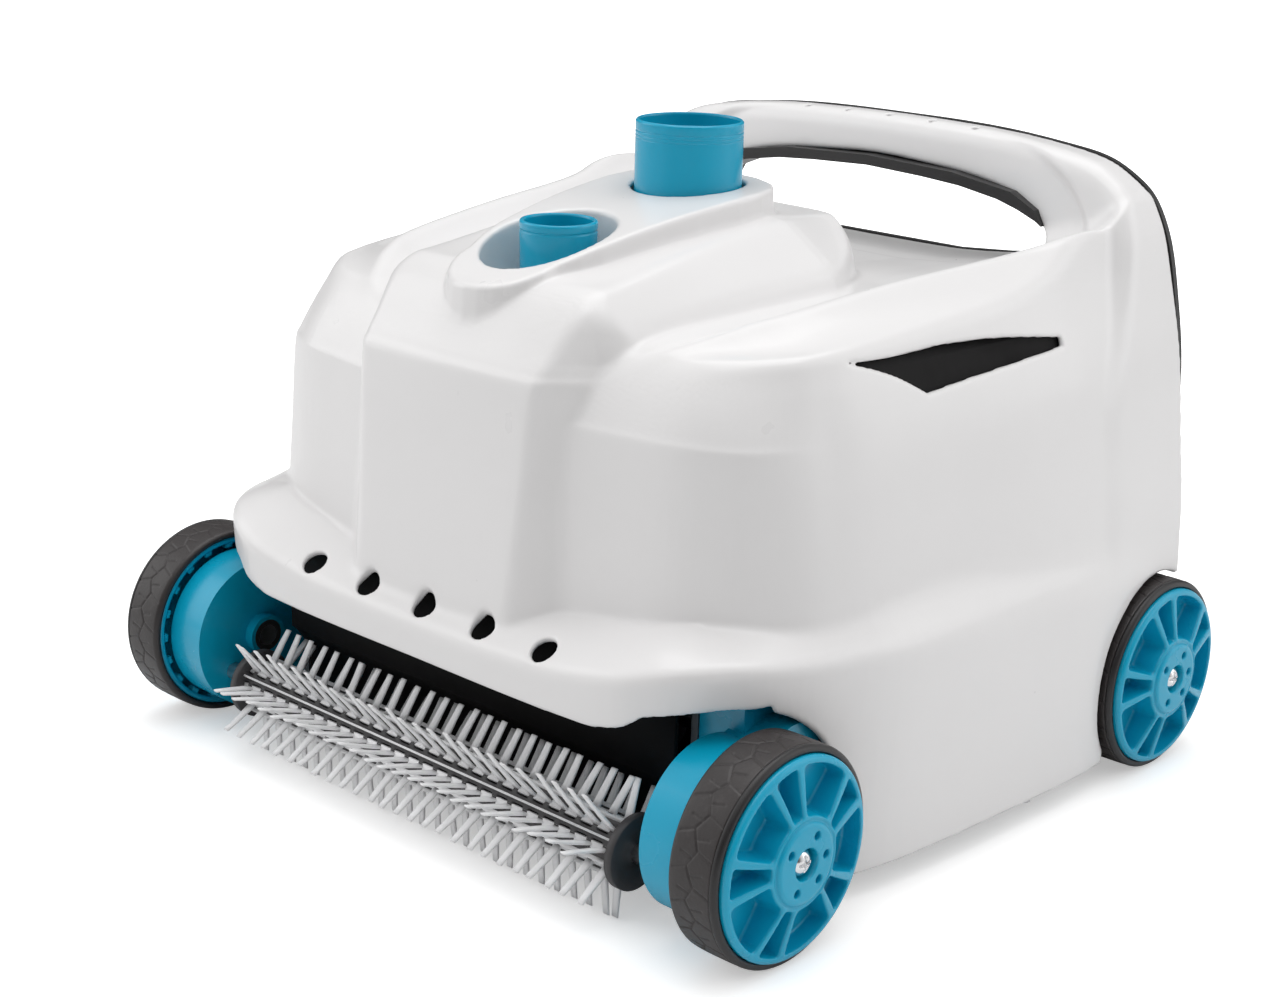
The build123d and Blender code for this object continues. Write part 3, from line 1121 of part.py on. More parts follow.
HOOD_REAR_Y = BRUSH[0] + sqrt((HOOD_R + HOOD_WALL) ** 2 - (BRUSH[1] - PLATE_TOP_Z) ** 2)
PLATE_HALF = [(WING_OUT, HOOD_REAR_Y + BODY_GAP), (WING_OUT, FRONT_Y + 40), (162, FRONT_Y + 40),
              (170, -45), (177.5, 2), (179, 60), (178.5, 82), (WHEELHOUSE_X - SHELL_WALL - 0.5, 82),
              (WHEELHOUSE_X - SHELL_WALL - 0.5, BACK_Y - SHELL_WALL - 0.5)]
RAIL_X = DRAWER_HALF - 7
AXLE_POST_X = WHEELHOUSE_X - SHELL_WALL - 4.5
SCREW_SPOTS = [(167, -45), (175, 40), (112, 149)]
PLATE_SCREW_R = 2.0
BOSS_TOP_Z = 34.0
with BuildPart() as chassis:
    with BuildSketch(Plane.XY.offset(SKIRT_Z)) as plate:
        Polygon(*both_sides(PLATE_HALF), align=None)
        for side in (1, -1):
            with Locations((side * THROAT_X, THROAT_Y)):
                Rectangle(THROAT_WIDTH - 2 * THROAT_WALL, THROAT_DEPTH - 2 * THROAT_WALL,
                          mode=Mode.SUBTRACT)
        with Locations(*[(side * x, y) for x, y in SCREW_SPOTS for side in (1, -1)]):
            Circle(PLATE_SCREW_R + RUNNING_FIT, mode=Mode.SUBTRACT)
    extrude(plate.sketch, amount=PLATE)
    for side in (1, -1):
        wing = sorted((side * WING_IN, side * WING_OUT))
        block(wing, (HOOD_REAR_Y + BODY_GAP, DRIVE[0] + LOBE_R + 9), (SKIRT_Z, BRACKET_TOP_Z))
        post = sorted((side * AXLE_POST_X, side * (AXLE_POST_X + 4)))
        block(post, (REAR_Y - 9, REAR_Y + 9), (SKIRT_Z, AXLE_Z + 9))
    round_bar(-WING_OUT - 1, WING_OUT + 1, SHAFT_R + BODY_GAP, *DRIVE, Mode.SUBTRACT)
    round_bar(-AXLE_POST_X - 9, AXLE_POST_X + 9, REAR_AXLE_D / 2 + RUNNING_FIT, REAR_Y, AXLE_Z,
              Mode.SUBTRACT)
save(chassis.part, "chassis")

# ---- debris drawer ----------------------------------------------------------
DRAWER_TOP_Z = DRAWER_Z + DRAWER_HEIGHT
FACE_IN = BACK_Y + BODY_GAP
FACE_OUT = FACE_IN + FACE_THICKNESS
BUTTON_R = BUTTON_D / 2
BUTTON_Z = DRAWER_TOP_Z - 22
DRAWER_BACK_Y = FACE_IN - 6
DRAWER_BAR = 8.0
WINDOW_X = (2 * (DRAWER_HALF - DRAWER_WALL) - 3 * DRAWER_BAR) / 4
WINDOW_Y = (DRAWER_BACK_Y - DRAWER_FRONT_Y - DRAWER_WALL - 2 * DRAWER_BAR) / 3
with BuildPart() as drawer:
    block((-DRAWER_HALF, DRAWER_HALF), (DRAWER_FRONT_Y, FACE_IN), (DRAWER_Z, DRAWER_TOP_Z))
    block((-DRAWER_HALF - FACE_LIP, DRAWER_HALF + FACE_LIP), (FACE_IN, FACE_OUT),
          (DRAWER_Z - FACE_LIP, DRAWER_TOP_Z + FACE_LIP))
    block((-42, 42), (FACE_OUT, FACE_OUT + 7), (DRAWER_TOP_Z - 3, DRAWER_TOP_Z + 2))
    block((-DRAWER_HALF + DRAWER_WALL, DRAWER_HALF - DRAWER_WALL),
          (DRAWER_FRONT_Y + DRAWER_WALL, DRAWER_BACK_Y), (DRAWER_Z + DRAWER_WALL, DRAWER_TOP_Z + 1),
          Mode.SUBTRACT)
    for side in (1, -1):
        cx = side * THROAT_X
        block((cx - THROAT_HALF_X + 5, cx + THROAT_HALF_X - 5),
              (DRAWER_FRONT_Y - 1, DRAWER_FRONT_Y + 5), OUTLET_Z, Mode.SUBTRACT)
    # windows in the floor and the sides
    with BuildSketch(Plane.XY.offset(DRAWER_Z - 1)) as floor_windows:
        with Locations((0, (DRAWER_FRONT_Y + DRAWER_WALL + DRAWER_BACK_Y) / 2)):
            with GridLocations(WINDOW_X + DRAWER_BAR, WINDOW_Y + DRAWER_BAR, 4, 3):
                Rectangle(WINDOW_X, WINDOW_Y)
    extrude(floor_windows.sketch, amount=DRAWER_WALL + 2, mode=Mode.SUBTRACT)
    with BuildSketch(Plane.YZ.offset(-DRAWER_HALF - 1)) as side_windows:
        with Locations(((DRAWER_FRONT_Y + FACE_IN) / 2, DRAWER_Z + DRAWER_HEIGHT / 2)):
            with GridLocations(48, 0, 3, 1):
                Rectangle(40, DRAWER_HEIGHT - 24)
    extrude(side_windows.sketch, amount=2 * DRAWER_HALF + 2, mode=Mode.SUBTRACT)
    with BuildSketch(section_y(FACE_OUT + 1)) as button_hole:
        with Locations((0, BUTTON_Z)):
            Circle(BUTTON_R + BODY_GAP)
    extrude(button_hole.sketch, amount=FACE_THICKNESS + 4, mode=Mode.SUBTRACT)
save(drawer.part, "debris_drawer")

BUTTON_PROUD = 3.0
with BuildPart() as button:
    with BuildSketch(section_y(FACE_OUT + BUTTON_PROUD)) as button_face:
        with Locations((0, BUTTON_Z)):
            Circle(BUTTON_R)
    extrude(button_face.sketch, amount=BUTTON_PROUD + FACE_THICKNESS)
save(button.part, "release_button")

SCREEN = 1.2
SCREEN_GAP = 0.3
screen_y = (DRAWER_FRONT_Y + DRAWER_WALL + SCREEN_GAP, DRAWER_BACK_Y - SCREEN_GAP)
screen_half = DRAWER_HALF - DRAWER_WALL - SCREEN_GAP
screen_z = DRAWER_Z + DRAWER_WALL + SCREEN_GAP
with BuildPart() as debris_screen:
    block((-screen_half, screen_half), screen_y, (screen_z, screen_z + SCREEN))
    for side in (1, -1):
        block(sorted((side * (screen_half - SCREEN), side * screen_half)), screen_y,
              (screen_z, DRAWER_TOP_Z - 8))
    with BuildSketch(Plane.XY.offset(screen_z - 1)) as floor_mesh:
        with Locations((0, (DRAWER_FRONT_Y + FACE_IN) / 2)):
            with GridLocations(8, 12, 20, 11):
                Rectangle(5, 9)
    extrude(floor_mesh.sketch, amount=SCREEN + 2, mode=Mode.SUBTRACT)
save(debris_screen.part, "debris_screen")

with BuildPart() as rails:
    for side in (1, -1):
        span = sorted((side * (RAIL_X - 4), side * (RAIL_X + 4)))
        block(span, (DRAWER_FRONT_Y, BACK_Y - 12),
              (DRAWER_Z - BODY_GAP - RAIL_HEIGHT, DRAWER_Z - BODY_GAP))
        for y in (DRAWER_FRONT_Y + 12, REAR_Y - 30):
            block(span, (y, y + 8), (PLATE_TOP_Z, DRAWER_Z - RAIL_HEIGHT))
save(rails.part, "drawer_rails")

plate_screws = []
for x, y in [(side * x, y) for x, y in SCREW_SPOTS for side in (1, -1)]:
    with BuildPart() as plate_screw:
        upright(x, y, SKIRT_Z - 2.2, SKIRT_Z, PLATE_SCREW_R * 2)
        upright(x, y, SKIRT_Z, BOSS_TOP_Z - 6, PLATE_SCREW_R)
    plate_screws.append(plate_screw.part.solid())
save(Compound(children=plate_screws), "plate_screws")
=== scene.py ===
import json
import bmesh
import bpy
import numpy as np
from math import cos, pi, radians, sin
from mathutils import Matrix, Vector


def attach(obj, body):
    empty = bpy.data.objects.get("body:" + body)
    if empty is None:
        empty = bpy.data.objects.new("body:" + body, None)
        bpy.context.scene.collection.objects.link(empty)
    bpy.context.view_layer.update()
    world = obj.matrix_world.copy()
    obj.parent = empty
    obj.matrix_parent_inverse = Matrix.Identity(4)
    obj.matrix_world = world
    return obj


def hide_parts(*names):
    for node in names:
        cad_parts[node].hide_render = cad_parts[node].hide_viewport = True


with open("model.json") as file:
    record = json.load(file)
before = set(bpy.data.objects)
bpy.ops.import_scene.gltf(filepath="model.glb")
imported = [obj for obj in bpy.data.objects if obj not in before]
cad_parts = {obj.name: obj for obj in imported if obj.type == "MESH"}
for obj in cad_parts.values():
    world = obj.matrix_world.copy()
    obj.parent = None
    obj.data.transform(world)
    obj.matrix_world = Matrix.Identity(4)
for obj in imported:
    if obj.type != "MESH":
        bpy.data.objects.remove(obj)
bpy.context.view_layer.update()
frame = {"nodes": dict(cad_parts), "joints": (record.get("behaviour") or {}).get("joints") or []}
MM = 0.001


# ---- places that several pieces share, in millimetres -------------------------
pivots = {joint["child"]: [value / MM for value in joint["pos_m"]]
          for joint in frame["joints"] if "pos_m" in joint}
FRONT_Y, AXLE_Z = pivots["front_left_wheel"][1:]
REAR_Y = pivots["rear_left_wheel"][1]
BRUSH_Y, BRUSH_Z = pivots["brush"][1:]
TUBE_Y, NOZZLE_Y = pivots["inlet"][1], pivots["nozzle"][1]


# ---- materials --------------------------------------------------------------
def surface(name, colour, rough, grain=900.0, bump=0.03, tint=0.05, metal=0.0, coat=0.0,
            patch=18.0, wear=None, sheen=0.0, specular=0.5):
    """A moulded or machined surface: cloudy tint, uneven gloss, fine grain and light wear."""
    mat = bpy.data.materials.new(name)
    mat.use_nodes = True
    nodes, links = mat.node_tree.nodes, mat.node_tree.links
    shader = nodes["Principled BSDF"]
    shader.inputs["Metallic"].default_value = metal
    shader.inputs["Coat Weight"].default_value = coat
    shader.inputs["Sheen Weight"].default_value = sheen
    shader.inputs["Specular IOR Level"].default_value = specular
    place = nodes.new("ShaderNodeTexCoord")

    def noise(scale, detail):
        node = nodes.new("ShaderNodeTexNoise")
        node.inputs["Scale"].default_value = scale
        node.inputs["Detail"].default_value = detail
        links.new(place.outputs["Object"], node.inputs["Vector"])
        return node.outputs["Fac"]

    def blend(factor, dark, light):
        node = nodes.new("ShaderNodeMix")
        node.data_type = "RGBA"
        links.new(factor, node.inputs["Factor"])
        node.inputs["A"].default_value = (*dark, 1)
        node.inputs["B"].default_value = (*light, 1)
        return node

    def spread(source, low, high, start=0.2, end=0.8):
        node = nodes.new("ShaderNodeMapRange")
        links.new(source, node.inputs["Value"])
        node.inputs["From Min"].default_value = start
        node.inputs["From Max"].default_value = end
        node.inputs["To Min"].default_value = low
        node.inputs["To Max"].default_value = high
        return node.outputs["Result"]

    cloud = noise(patch, 3)
    tinted = blend(cloud, [c * (1 - tint) for c in colour], [min(c * (1 + tint), 0.95) for c in colour])
    if wear:
        scuffs = spread(noise(150, 5), 0, 0.5, 0.6, 0.75)
        scuffed = blend(scuffs, colour, wear)
        links.new(tinted.outputs["Result"], scuffed.inputs["A"])
        tinted = scuffed
    links.new(tinted.outputs["Result"], shader.inputs["Base Color"])
    links.new(spread(noise(patch * 2.5, 4), rough * 0.88, rough * 1.15), shader.inputs["Roughness"])
    relief = nodes.new("ShaderNodeBump")
    relief.inputs["Strength"].default_value = bump
    relief.inputs["Distance"].default_value = 0.0006
    links.new(noise(grain, 2), relief.inputs["Height"])
    links.new(relief.outputs["Normal"], shader.inputs["Normal"])
    return mat


WHITE = (0.79, 0.78, 0.78)
BLUE = (0.002, 0.36, 0.56)
materials = {
    "shell_white": surface("shell_white", WHITE, 0.30, grain=1400, bump=0.02, tint=0.012, coat=0.25),
    "collar_white": surface("collar_white", WHITE, 0.32, tint=0.012, coat=0.2),
    "wheel_blue": surface("wheel_blue", BLUE, 0.26, grain=1100, bump=0.02, tint=0.05, coat=0.08,
                          specular=0.4),
    "tube_blue": surface("tube_blue", BLUE, 0.2, grain=1300, bump=0.012, tint=0.04, coat=0.1,
                         specular=0.4),
    "button_blue": surface("button_blue", BLUE, 0.32, tint=0.05, coat=0.2),
    "turbine_blue": surface("turbine_blue", (0.02, 0.11, 0.21), 0.4, tint=0.08),
    "tyre_grey": surface("tyre_grey", (0.024, 0.0195, 0.0195), 0.42, grain=700, bump=0.16, tint=0.16,
                         patch=45, wear=(0.05, 0.043, 0.043)),
    "core_black": surface("core_black", (0.04, 0.038, 0.04), 0.5, tint=0.15, wear=(0.06, 0.055, 0.06)),
    # near-black with little gloss: the hood's colour, and painted shade on the vent screens
    "hood_black_vent_shade": surface("hood_black_vent_shade", (0.006, 0.0055, 0.006), 0.7, tint=0.12, specular=0.2),
    "trim_dark": surface("trim_dark", (0.010, 0.0095, 0.010), 0.38, tint=0.12),
    "bristle_clear": surface("bristle_clear", (0.86, 0.86, 0.87), 0.3, grain=600, bump=0.05,
                             tint=0.06, patch=60),
    "chassis_grey": surface("chassis_grey", (0.13, 0.135, 0.14), 0.5, bump=0.06, tint=0.08,
                            wear=(0.2, 0.2, 0.2)),
    "inner_grey": surface("inner_grey", (0.3, 0.31, 0.32), 0.48, bump=0.05, tint=0.06),
    "gear_natural": surface("gear_natural", (0.72, 0.70, 0.62), 0.4, tint=0.05, sheen=0.1),
    "drawer_dark": surface("drawer_dark", (0.07, 0.07, 0.075), 0.46, bump=0.06, tint=0.1,
                           wear=(0.13, 0.13, 0.13)),
    "screen_mesh": surface("screen_mesh", (0.2, 0.21, 0.22), 0.5, grain=500, bump=0.15, tint=0.1),
    "screw_chrome": surface("screw_chrome", (0.78, 0.78, 0.79), 0.14, grain=400, bump=0.02, tint=0.03,
                            metal=1.0),
    "shaft_steel": surface("shaft_steel", (0.55, 0.55, 0.56), 0.3, grain=300, bump=0.05, tint=0.05,
                           metal=1.0),
    "bush_black": surface("bush_black", (0.03, 0.03, 0.03), 0.5, tint=0.1),
    "seal_black": surface("seal_black", (0.015, 0.015, 0.015), 0.55, bump=0.08, tint=0.1),
}


# ---- meshes -----------------------------------------------------------------
def make_mesh(name, points, faces, normals=None):
    """A mesh object from points in millimetres."""
    points = np.ascontiguousarray(points, float) * MM
    faces = np.ascontiguousarray(faces, np.int32)
    mesh = bpy.data.meshes.new(name)
    mesh.vertices.add(len(points))
    mesh.vertices.foreach_set("co", points.ravel())
    corners = faces.shape[1]
    mesh.loops.add(faces.size)
    mesh.loops.foreach_set("vertex_index", faces.ravel())
    mesh.polygons.add(len(faces))
    mesh.polygons.foreach_set("loop_start", np.arange(0, faces.size, corners, dtype=np.int32))
    mesh.update(calc_edges=True)
    mesh.shade_smooth()
    if normals is not None:
        mesh.normals_split_custom_set_from_vertices([tuple(v) for v in normals])
    obj = bpy.data.objects.new(name, mesh)
    bpy.context.collection.objects.link(obj)
    return obj


def ring_faces(rings, count):
    """Quads between rings of count points each, closed both ways."""
    i, j = np.meshgrid(np.arange(rings), np.arange(count), indexing="ij")
    ni, nj = (i + 1) % rings, (j + 1) % count
    return np.stack([i * count + j, ni * count + j, ni * count + nj, i * count + nj], -1).reshape(-1, 4)


def dress(obj, body, slot, material, *nodes):
    """Material and body of a piece, and the CAD nodes that it stands for, which are hidden; the slot
    argument is not used.
    """
    obj.data.materials.clear()
    obj.data.materials.append(material)
    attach(obj, body)
    if nodes:
        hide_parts(*nodes)
    return obj


# ---- implicit modelling -----------------------------------------------------
def smax(a, b, k):
    """The larger of two fields, with a blend of radius about k where they cross."""
    h = np.maximum(k - np.abs(a - b), 0) / k
    return np.maximum(a, b) + h * h * k * 0.25


def smin(a, b, k):
    return -smax(-a, -b, k)


def smooth_points(points, closed=False, steps=8):
    """A Catmull-Rom curve through points."""
    p = np.array(points, float)
    if closed:
        p = np.vstack([p[-1:], p, p[:2]])
    else:
        p = np.vstack([2 * p[:1] - p[1:2], p, 2 * p[-1:] - p[-2:-1]])
    out = []
    for i in range(1, len(p) - 2):
        for s in range(steps):
            t = s / steps
            a, b, c, d = p[i - 1], p[i], p[i + 1], p[i + 2]
            out.append(0.5 * (2 * b + (c - a) * t + (2 * a - 5 * b + 4 * c - d) * t * t
                              + (3 * b - a - 3 * c + d) * t ** 3))
    if not closed:
        out.append(p[-2])
    return np.array(out)


def outline_field(u, v, outline):
    """Signed distance from the points (u, v) to a closed outline; negative inside."""
    u, v = np.broadcast_arrays(u, v)
    best = np.full(u.shape, 1e9)
    inside = np.zeros(u.shape, bool)
    ring = np.roll(outline, -1, axis=0)
    for (ax, ay), (bx, by) in zip(outline, ring):
        dx, dy = bx - ax, by - ay
        length = dx * dx + dy * dy
        if length < 1e-12:
            continue
        t = np.clip(((u - ax) * dx + (v - ay) * dy) / length, 0, 1)
        best = np.minimum(best, (u - ax - t * dx) ** 2 + (v - ay - t * dy) ** 2)
        crosses = (ay > v) != (by > v)
        if dy:
            inside ^= crosses & (u < (v - ay) * dx / dy + ax)
    d = np.sqrt(best)
    return np.where(inside, -d, d).astype(np.float32)


def mirrored(half):
    """A closed outline, symmetric about x = 0, from its right-hand half."""
    half = np.array(half, float)
    left = half[half[:, 0] > 0.01][::-1] * (-1, 1)
    return np.vstack([left, half])


def line(x, points):
    """Piecewise-linear interpolation through (x, value) points."""
    p = np.array(points, float)
    return np.interp(x, p[:, 0], p[:, 1]).astype(np.float32)


def curve(x, points, steps=8):
    """Smooth interpolation through (x, value) points."""
    p = smooth_points(points, steps=steps)
    return np.interp(x, p[:, 0], p[:, 1]).astype(np.float32)


def surface_net(field, origin, pitch):
    """A quad mesh of the zero level of a sampled field: points and faces."""
    inside = field < 0
    nx, ny, nz = field.shape
    count = np.zeros((nx - 1, ny - 1, nz - 1), np.uint8)
    for i in (0, 1):
        for j in (0, 1):
            for k in (0, 1):
                count += inside[i:nx - 1 + i, j:ny - 1 + j, k:nz - 1 + k]
    cells = np.argwhere((count > 0) & (count < 8))
    total = np.zeros((len(cells), 3))
    hits = np.zeros(len(cells))
    corners = [(i, j, k) for i in (0, 1) for j in (0, 1) for k in (0, 1)]
    for a in corners:
        for axis in range(3):
            if a[axis]:
                continue
            b = list(a)
            b[axis] = 1
            fa = field[tuple((cells + a).T)]
            fb = field[tuple((cells + b).T)]
            cut = (fa < 0) != (fb < 0)
            t = np.where(cut, fa / np.where(cut, fa - fb, 1), 0)
            at = np.array(a, float)[None, :].repeat(len(cells), 0)
            at[:, axis] = t
            total += at * cut[:, None]
            hits += cut
    points = (cells + total / hits[:, None]) * pitch + origin
    index = np.full((nx - 1, ny - 1, nz - 1), -1, np.int64)
    index[tuple(cells.T)] = np.arange(len(cells))
    faces = []
    for axis in range(3):
        lo = [slice(None)] * 3
        hi = [slice(None)] * 3
        lo[axis], hi[axis] = slice(0, -1), slice(1, None)
        flip = inside[tuple(lo)] & ~inside[tuple(hi)]
        both = np.argwhere(inside[tuple(lo)] != inside[tuple(hi)])
        u, v = (axis + 1) % 3, (axis + 2) % 3
        both = both[(both[:, u] > 0) & (both[:, v] > 0)
                    & (both[:, u] < field.shape[u] - 1) & (both[:, v] < field.shape[v] - 1)]

        def at(du, dv):
            c = both.copy()
            c[:, u] -= du
            c[:, v] -= dv
            return index[tuple(c.T)]

        quads = np.stack([at(1, 1), at(0, 1), at(0, 0), at(1, 0)], axis=1)
        turn = ~flip[tuple(both.T)]
        quads[turn] = quads[turn][:, ::-1]
        faces.append(quads)
    return points, np.concatenate(faces)


def sampled_normals(field, origin, pitch, points):
    """Unit gradients of a sampled field at points, by trilinear interpolation."""
    g = np.clip((points - origin) / pitch, 1.001, np.array(field.shape) - 2.001)
    step = 0.75
    out = np.zeros_like(points)
    for axis in range(3):
        shift = np.zeros(3)
        shift[axis] = step
        out[:, axis] = trilinear(field, g + shift) - trilinear(field, g - shift)
    return out / np.maximum(np.linalg.norm(out, axis=1, keepdims=True), 1e-9)


def relaxed(field, origin, pitch, points, faces, rounds=2):
    """Surface-net points evened out along the surface and put back on the field's zero level."""
    count = len(points)
    corners = faces.shape[1]
    ends = np.concatenate([faces[:, k] for k in range(corners)])
    nexts = np.concatenate([faces[:, (k + 1) % corners] for k in range(corners)])
    shared = np.bincount(ends, minlength=count) + np.bincount(nexts, minlength=count)
    limit = np.array(field.shape) - 2.001
    for _ in range(rounds):
        moved = np.empty_like(points)
        for axis in range(3):
            value = points[:, axis]
            moved[:, axis] = (np.bincount(ends, value[nexts], count)
                              + np.bincount(nexts, value[ends], count)) / shared
        points = 0.4 * points + 0.6 * moved
        g = np.clip((points - origin) / pitch, 1.001, limit)
        slope = np.empty_like(points)
        for axis in range(3):
            shift = np.zeros(3)
            shift[axis] = 0.5
            slope[:, axis] = trilinear(field, g + shift) - trilinear(field, g - shift)
        reach = trilinear(field, g) / np.maximum((slope ** 2).sum(axis=1), 1e-6)
        points = points - np.clip(reach, -0.6, 0.6)[:, None] * slope * pitch
    return points


def trilinear(field, g):
    """Values of a sampled field between its samples, at grid coordinates g."""
    i = np.floor(g).astype(int)
    i = np.minimum(np.maximum(i, 0), np.array(field.shape) - 2)
    t = g - i
    out = 0
    for a in (0, 1):
        for b in (0, 1):
            for c in (0, 1):
                w = (t[:, 0] if a else 1 - t[:, 0]) * (t[:, 1] if b else 1 - t[:, 1]) \
                    * (t[:, 2] if c else 1 - t[:, 2])
                out = out + w * field[i[:, 0] + a, i[:, 1] + b, i[:, 2] + c]
    return out


# ---- body shell -------------------------------------------------------------
SHELL_PITCH = 1.2
WALL = 3.0
BACK_Y, BASE_Z = 158.0, 11.0
RECESS_Y, RECESS_HALF_X, RECESS_HALF_Y, RECESS_FLOOR = -85, 26.3, 31, 227
NOZZLE_HOLE_R, TUBE_HOLE_R = 20.6, 25.6
REAR_WELL_R, REAR_WELL_X, AXLE_HOLE_R = 47.5, 161, 4.4
DRAIN_PITCH, DRAIN_R, DRAIN_Y, DRAIN_Z = 36.0, 5.75, -155.8, 102.5
DIMPLE_PITCH, DIMPLE_R, DIMPLE_Y, DIMPLE_FLOOR = 25.5, 1.6, 149, 272
DOOR_LOW, DOOR_HIGH = (-97, 150, 56), (97, 170, 140)
HULL = [(0, -141), (30, -140.7), (60, -139), (85, -135.5), (112, -131), (130, -123.5), (143, -114),
        (155, -99), (161.5, -84), (167, -60), (172, -14), (176, 30), (177, 70), (175.5, 110),
        (172, 158), (168, 200), (0, 230)]
BELT = [(0, -163.3), (60, -163.3), (107, -161.8), (128, -156.5), (143, -147), (154, -133),
        (162, -118), (170, -95), (178, -60), (181, -20), (182.5, 30), (183, 70), (181, 100),
        (176, 140), (172, 158), (166, 200), (0, 230)]
VENT = [(-63, 218), (-50, 217.3), (-37, 217.2), (-14, 218), (8, 217.5), (28, 216), (48, 213.5),
        (66, 211), (66, 207.5), (30, 205.6), (0, 203.6), (-24, 201.5), (-30, 205), (-40, 210.3),
        (-51, 214.5)]


def eased_step(value, start, end):
    """From 0 to 1 with a soft start and end while value goes from start to end."""
    t = np.clip((value - start) / (end - start), 0, 1)
    return t * t * (3 - 2 * t)


def plan_field(x, y, outline):
    """Distance from a closed outline seen from above."""
    return outline_field(x[:, :, 0], y[:, :, 0], outline)[:, :, None]


def steep_walls(x, y, z):
    """The upper wall round the hull line, which leans in as it rises, more so at the front."""
    lean_front = curve(z, [(90, -1.5), (112, 0), (150, 2.5), (184, 4.5), (192, 7), (205, 14),
                           (218, 23.5), (230, 33), (250, 50)])
    lean_side = curve(z, [(90, -1), (112, 0), (140, 2.5), (165, 6), (190, 11), (205, 15.5),
                          (215, 19.5), (225, 23.5), (235, 27), (260, 34)])
    side = eased_step(y, -118, -78)
    hull = plan_field(x, y, smooth_points(mirrored(HULL), True, 4))
    return hull + lean_front * (1 - side) + lean_side * side


def crested_top(ax, y, z):
    """The top: a valley along the middle between two crests with their outer slopes."""
    valley = curve(y, [(-150, 196), (-128, 207), (-112, 216), (-98, 220.5), (-60, 223.5), (0, 225.5),
                       (60, 225), (100, 222.5), (135, 221), (160, 221)])
    valley = valley + np.clip((y - 40) / 70, 0, 1) * line(ax, [(0, 0), (40, 0), (69, 2.5), (86, 5),
                                                               (100, 9.6), (118, 16)])
    ridge_x = curve(y, [(-130, 70), (-98, 96), (-82, 106), (-60, 114), (-4, 122), (61, 132),
                        (92, 141), (130, 150), (170, 152)])
    ridge_z = curve(y, [(-130, 205), (-112, 214), (-98, 222.5), (-82, 230), (-60, 234.5), (-4, 240.5),
                        (61, 245), (92, 250), (130, 256), (170, 262)])
    outer = ridge_z - (ax - ridge_x) * 0.62
    inner = ridge_z - (ridge_x - ax) * 0.8
    return (z - smax(valley, smin(outer, inner, 6), 9)) * 0.82


def middle_panel(ax, y, z):
    """The raised panel down the middle: bowed front, bevelled sides, shoulders along the top."""
    edge_x = line(z, [(100, 46.5), (112, 47), (165, 50), (200, 52), (216, 54), (229, 56), (239, 57)])
    edge_y = curve(z, [(100, -153), (112, -152.5), (165, -147.5), (200, -144.3), (208, -140.5),
                       (216, -134.3), (229, -124), (239, -112), (262, -84)])
    bevel_x = line(z, [(100, 62), (200, 62.3), (212, 64), (222, 69), (232, 76), (260, 90)]) - edge_x
    bevel_y = line(z, [(100, 12), (200, 12), (216, 14), (224, 16), (239, 20)])
    bevel = ((ax - edge_x) * bevel_y - (y - edge_y) * bevel_x) / np.hypot(bevel_x, bevel_y)
    bow = 3.5 * (1 - np.clip(ax / edge_x, 0, 1.2) ** 2) * np.clip((z - 150) / 70, 0.25, 1)
    front = (edge_y - bow - y) * 0.9
    shoulder_x = curve(y, [(-160, 62), (-125, 64), (-112, 70), (-50, 76), (2, 80), (14, 79), (30, 73),
                           (46, 63), (58, 48), (64, 20), (68, -30)])
    shoulder = (ax - shoulder_x + (z - 225) * 0.2) * 0.93
    shoulder_z = curve(y, [(-160, 239), (-112, 239), (-50, 248), (2, 253), (14, 253), (58, 249),
                           (80, 245)])
    fall = line(y, [(-112, 1.15), (-50, 0.79), (2, 0.72), (20, 0.7), (58, 0.65)])
    over = ax - line(y, [(-112, 57), (-50, 52), (14, 50), (58, 38)])
    over = 0.5 * (over + np.sqrt(over * over + 9))
    panel_top = (z - shoulder_z + over * fall) / np.sqrt(1 + fall ** 2)
    return smax(smax(front, bevel, 2.5), smax(shoulder, panel_top, 4), 4)


def pedestal(x, y, z):
    """The drop-shaped pedestal round the nozzle's recess and the hose inlet."""
    tip = [(26.5 * np.sin(a), -106 - 26.5 * np.cos(a)) for a in np.linspace(0, np.pi / 2, 7)]
    drop = mirrored(tip + [(30, -96), (32.7, -86), (36.5, -60), (39.5, -35), (41.7, -10), (41.3, 5),
                           (38, 17), (29.5, 27), (16, 33.5), (0, 36)])
    sides = plan_field(x, y, drop) + (z - 250) * 0.06
    top = curve(y, [(-160, 230), (-131, 236), (-113, 242), (-85, 250.5), (-50, 257.5), (-20, 261.5),
                    (1.75, 263.5), (40, 265), (70, 266)])
    return np.maximum(smax(sides, (z - top) * 0.98, 2.2), 205 - z)


def skirt(x, y, z):
    """The bumper, the belt along the flanks and the skirt under them."""
    ax = np.abs(x)
    belt = plan_field(x, y, smooth_points(mirrored(BELT), True, 4))
    edge_z = (curve(ax, [(0, 96), (35, 96.5), (78, 98.5), (108, 103), (128, 107.5), (143, 110.5),
                         (160, 111.5), (190, 111.5)])
              + curve(y, [(-170, 0), (-133, 0), (-105, -2), (-60, -3.5), (40, -7), (120, -12),
                          (170, -14)]))
    slope = line(y, [(-165, 0.72), (-150, 0.66), (-125, 0.5), (-105, 0.65), (-73, 1.0), (0, 1.9),
                     (170, 2.2)])
    ledge = (z - edge_z + np.maximum(belt, -26) * slope) / np.sqrt(1 + slope ** 2)
    tuck = line(y, [(-140, 6), (0, 2.5), (80, 0.5)]) * np.clip((edge_z - z) / 90, 0, 1)
    return smax(belt + tuck, ledge, 4)


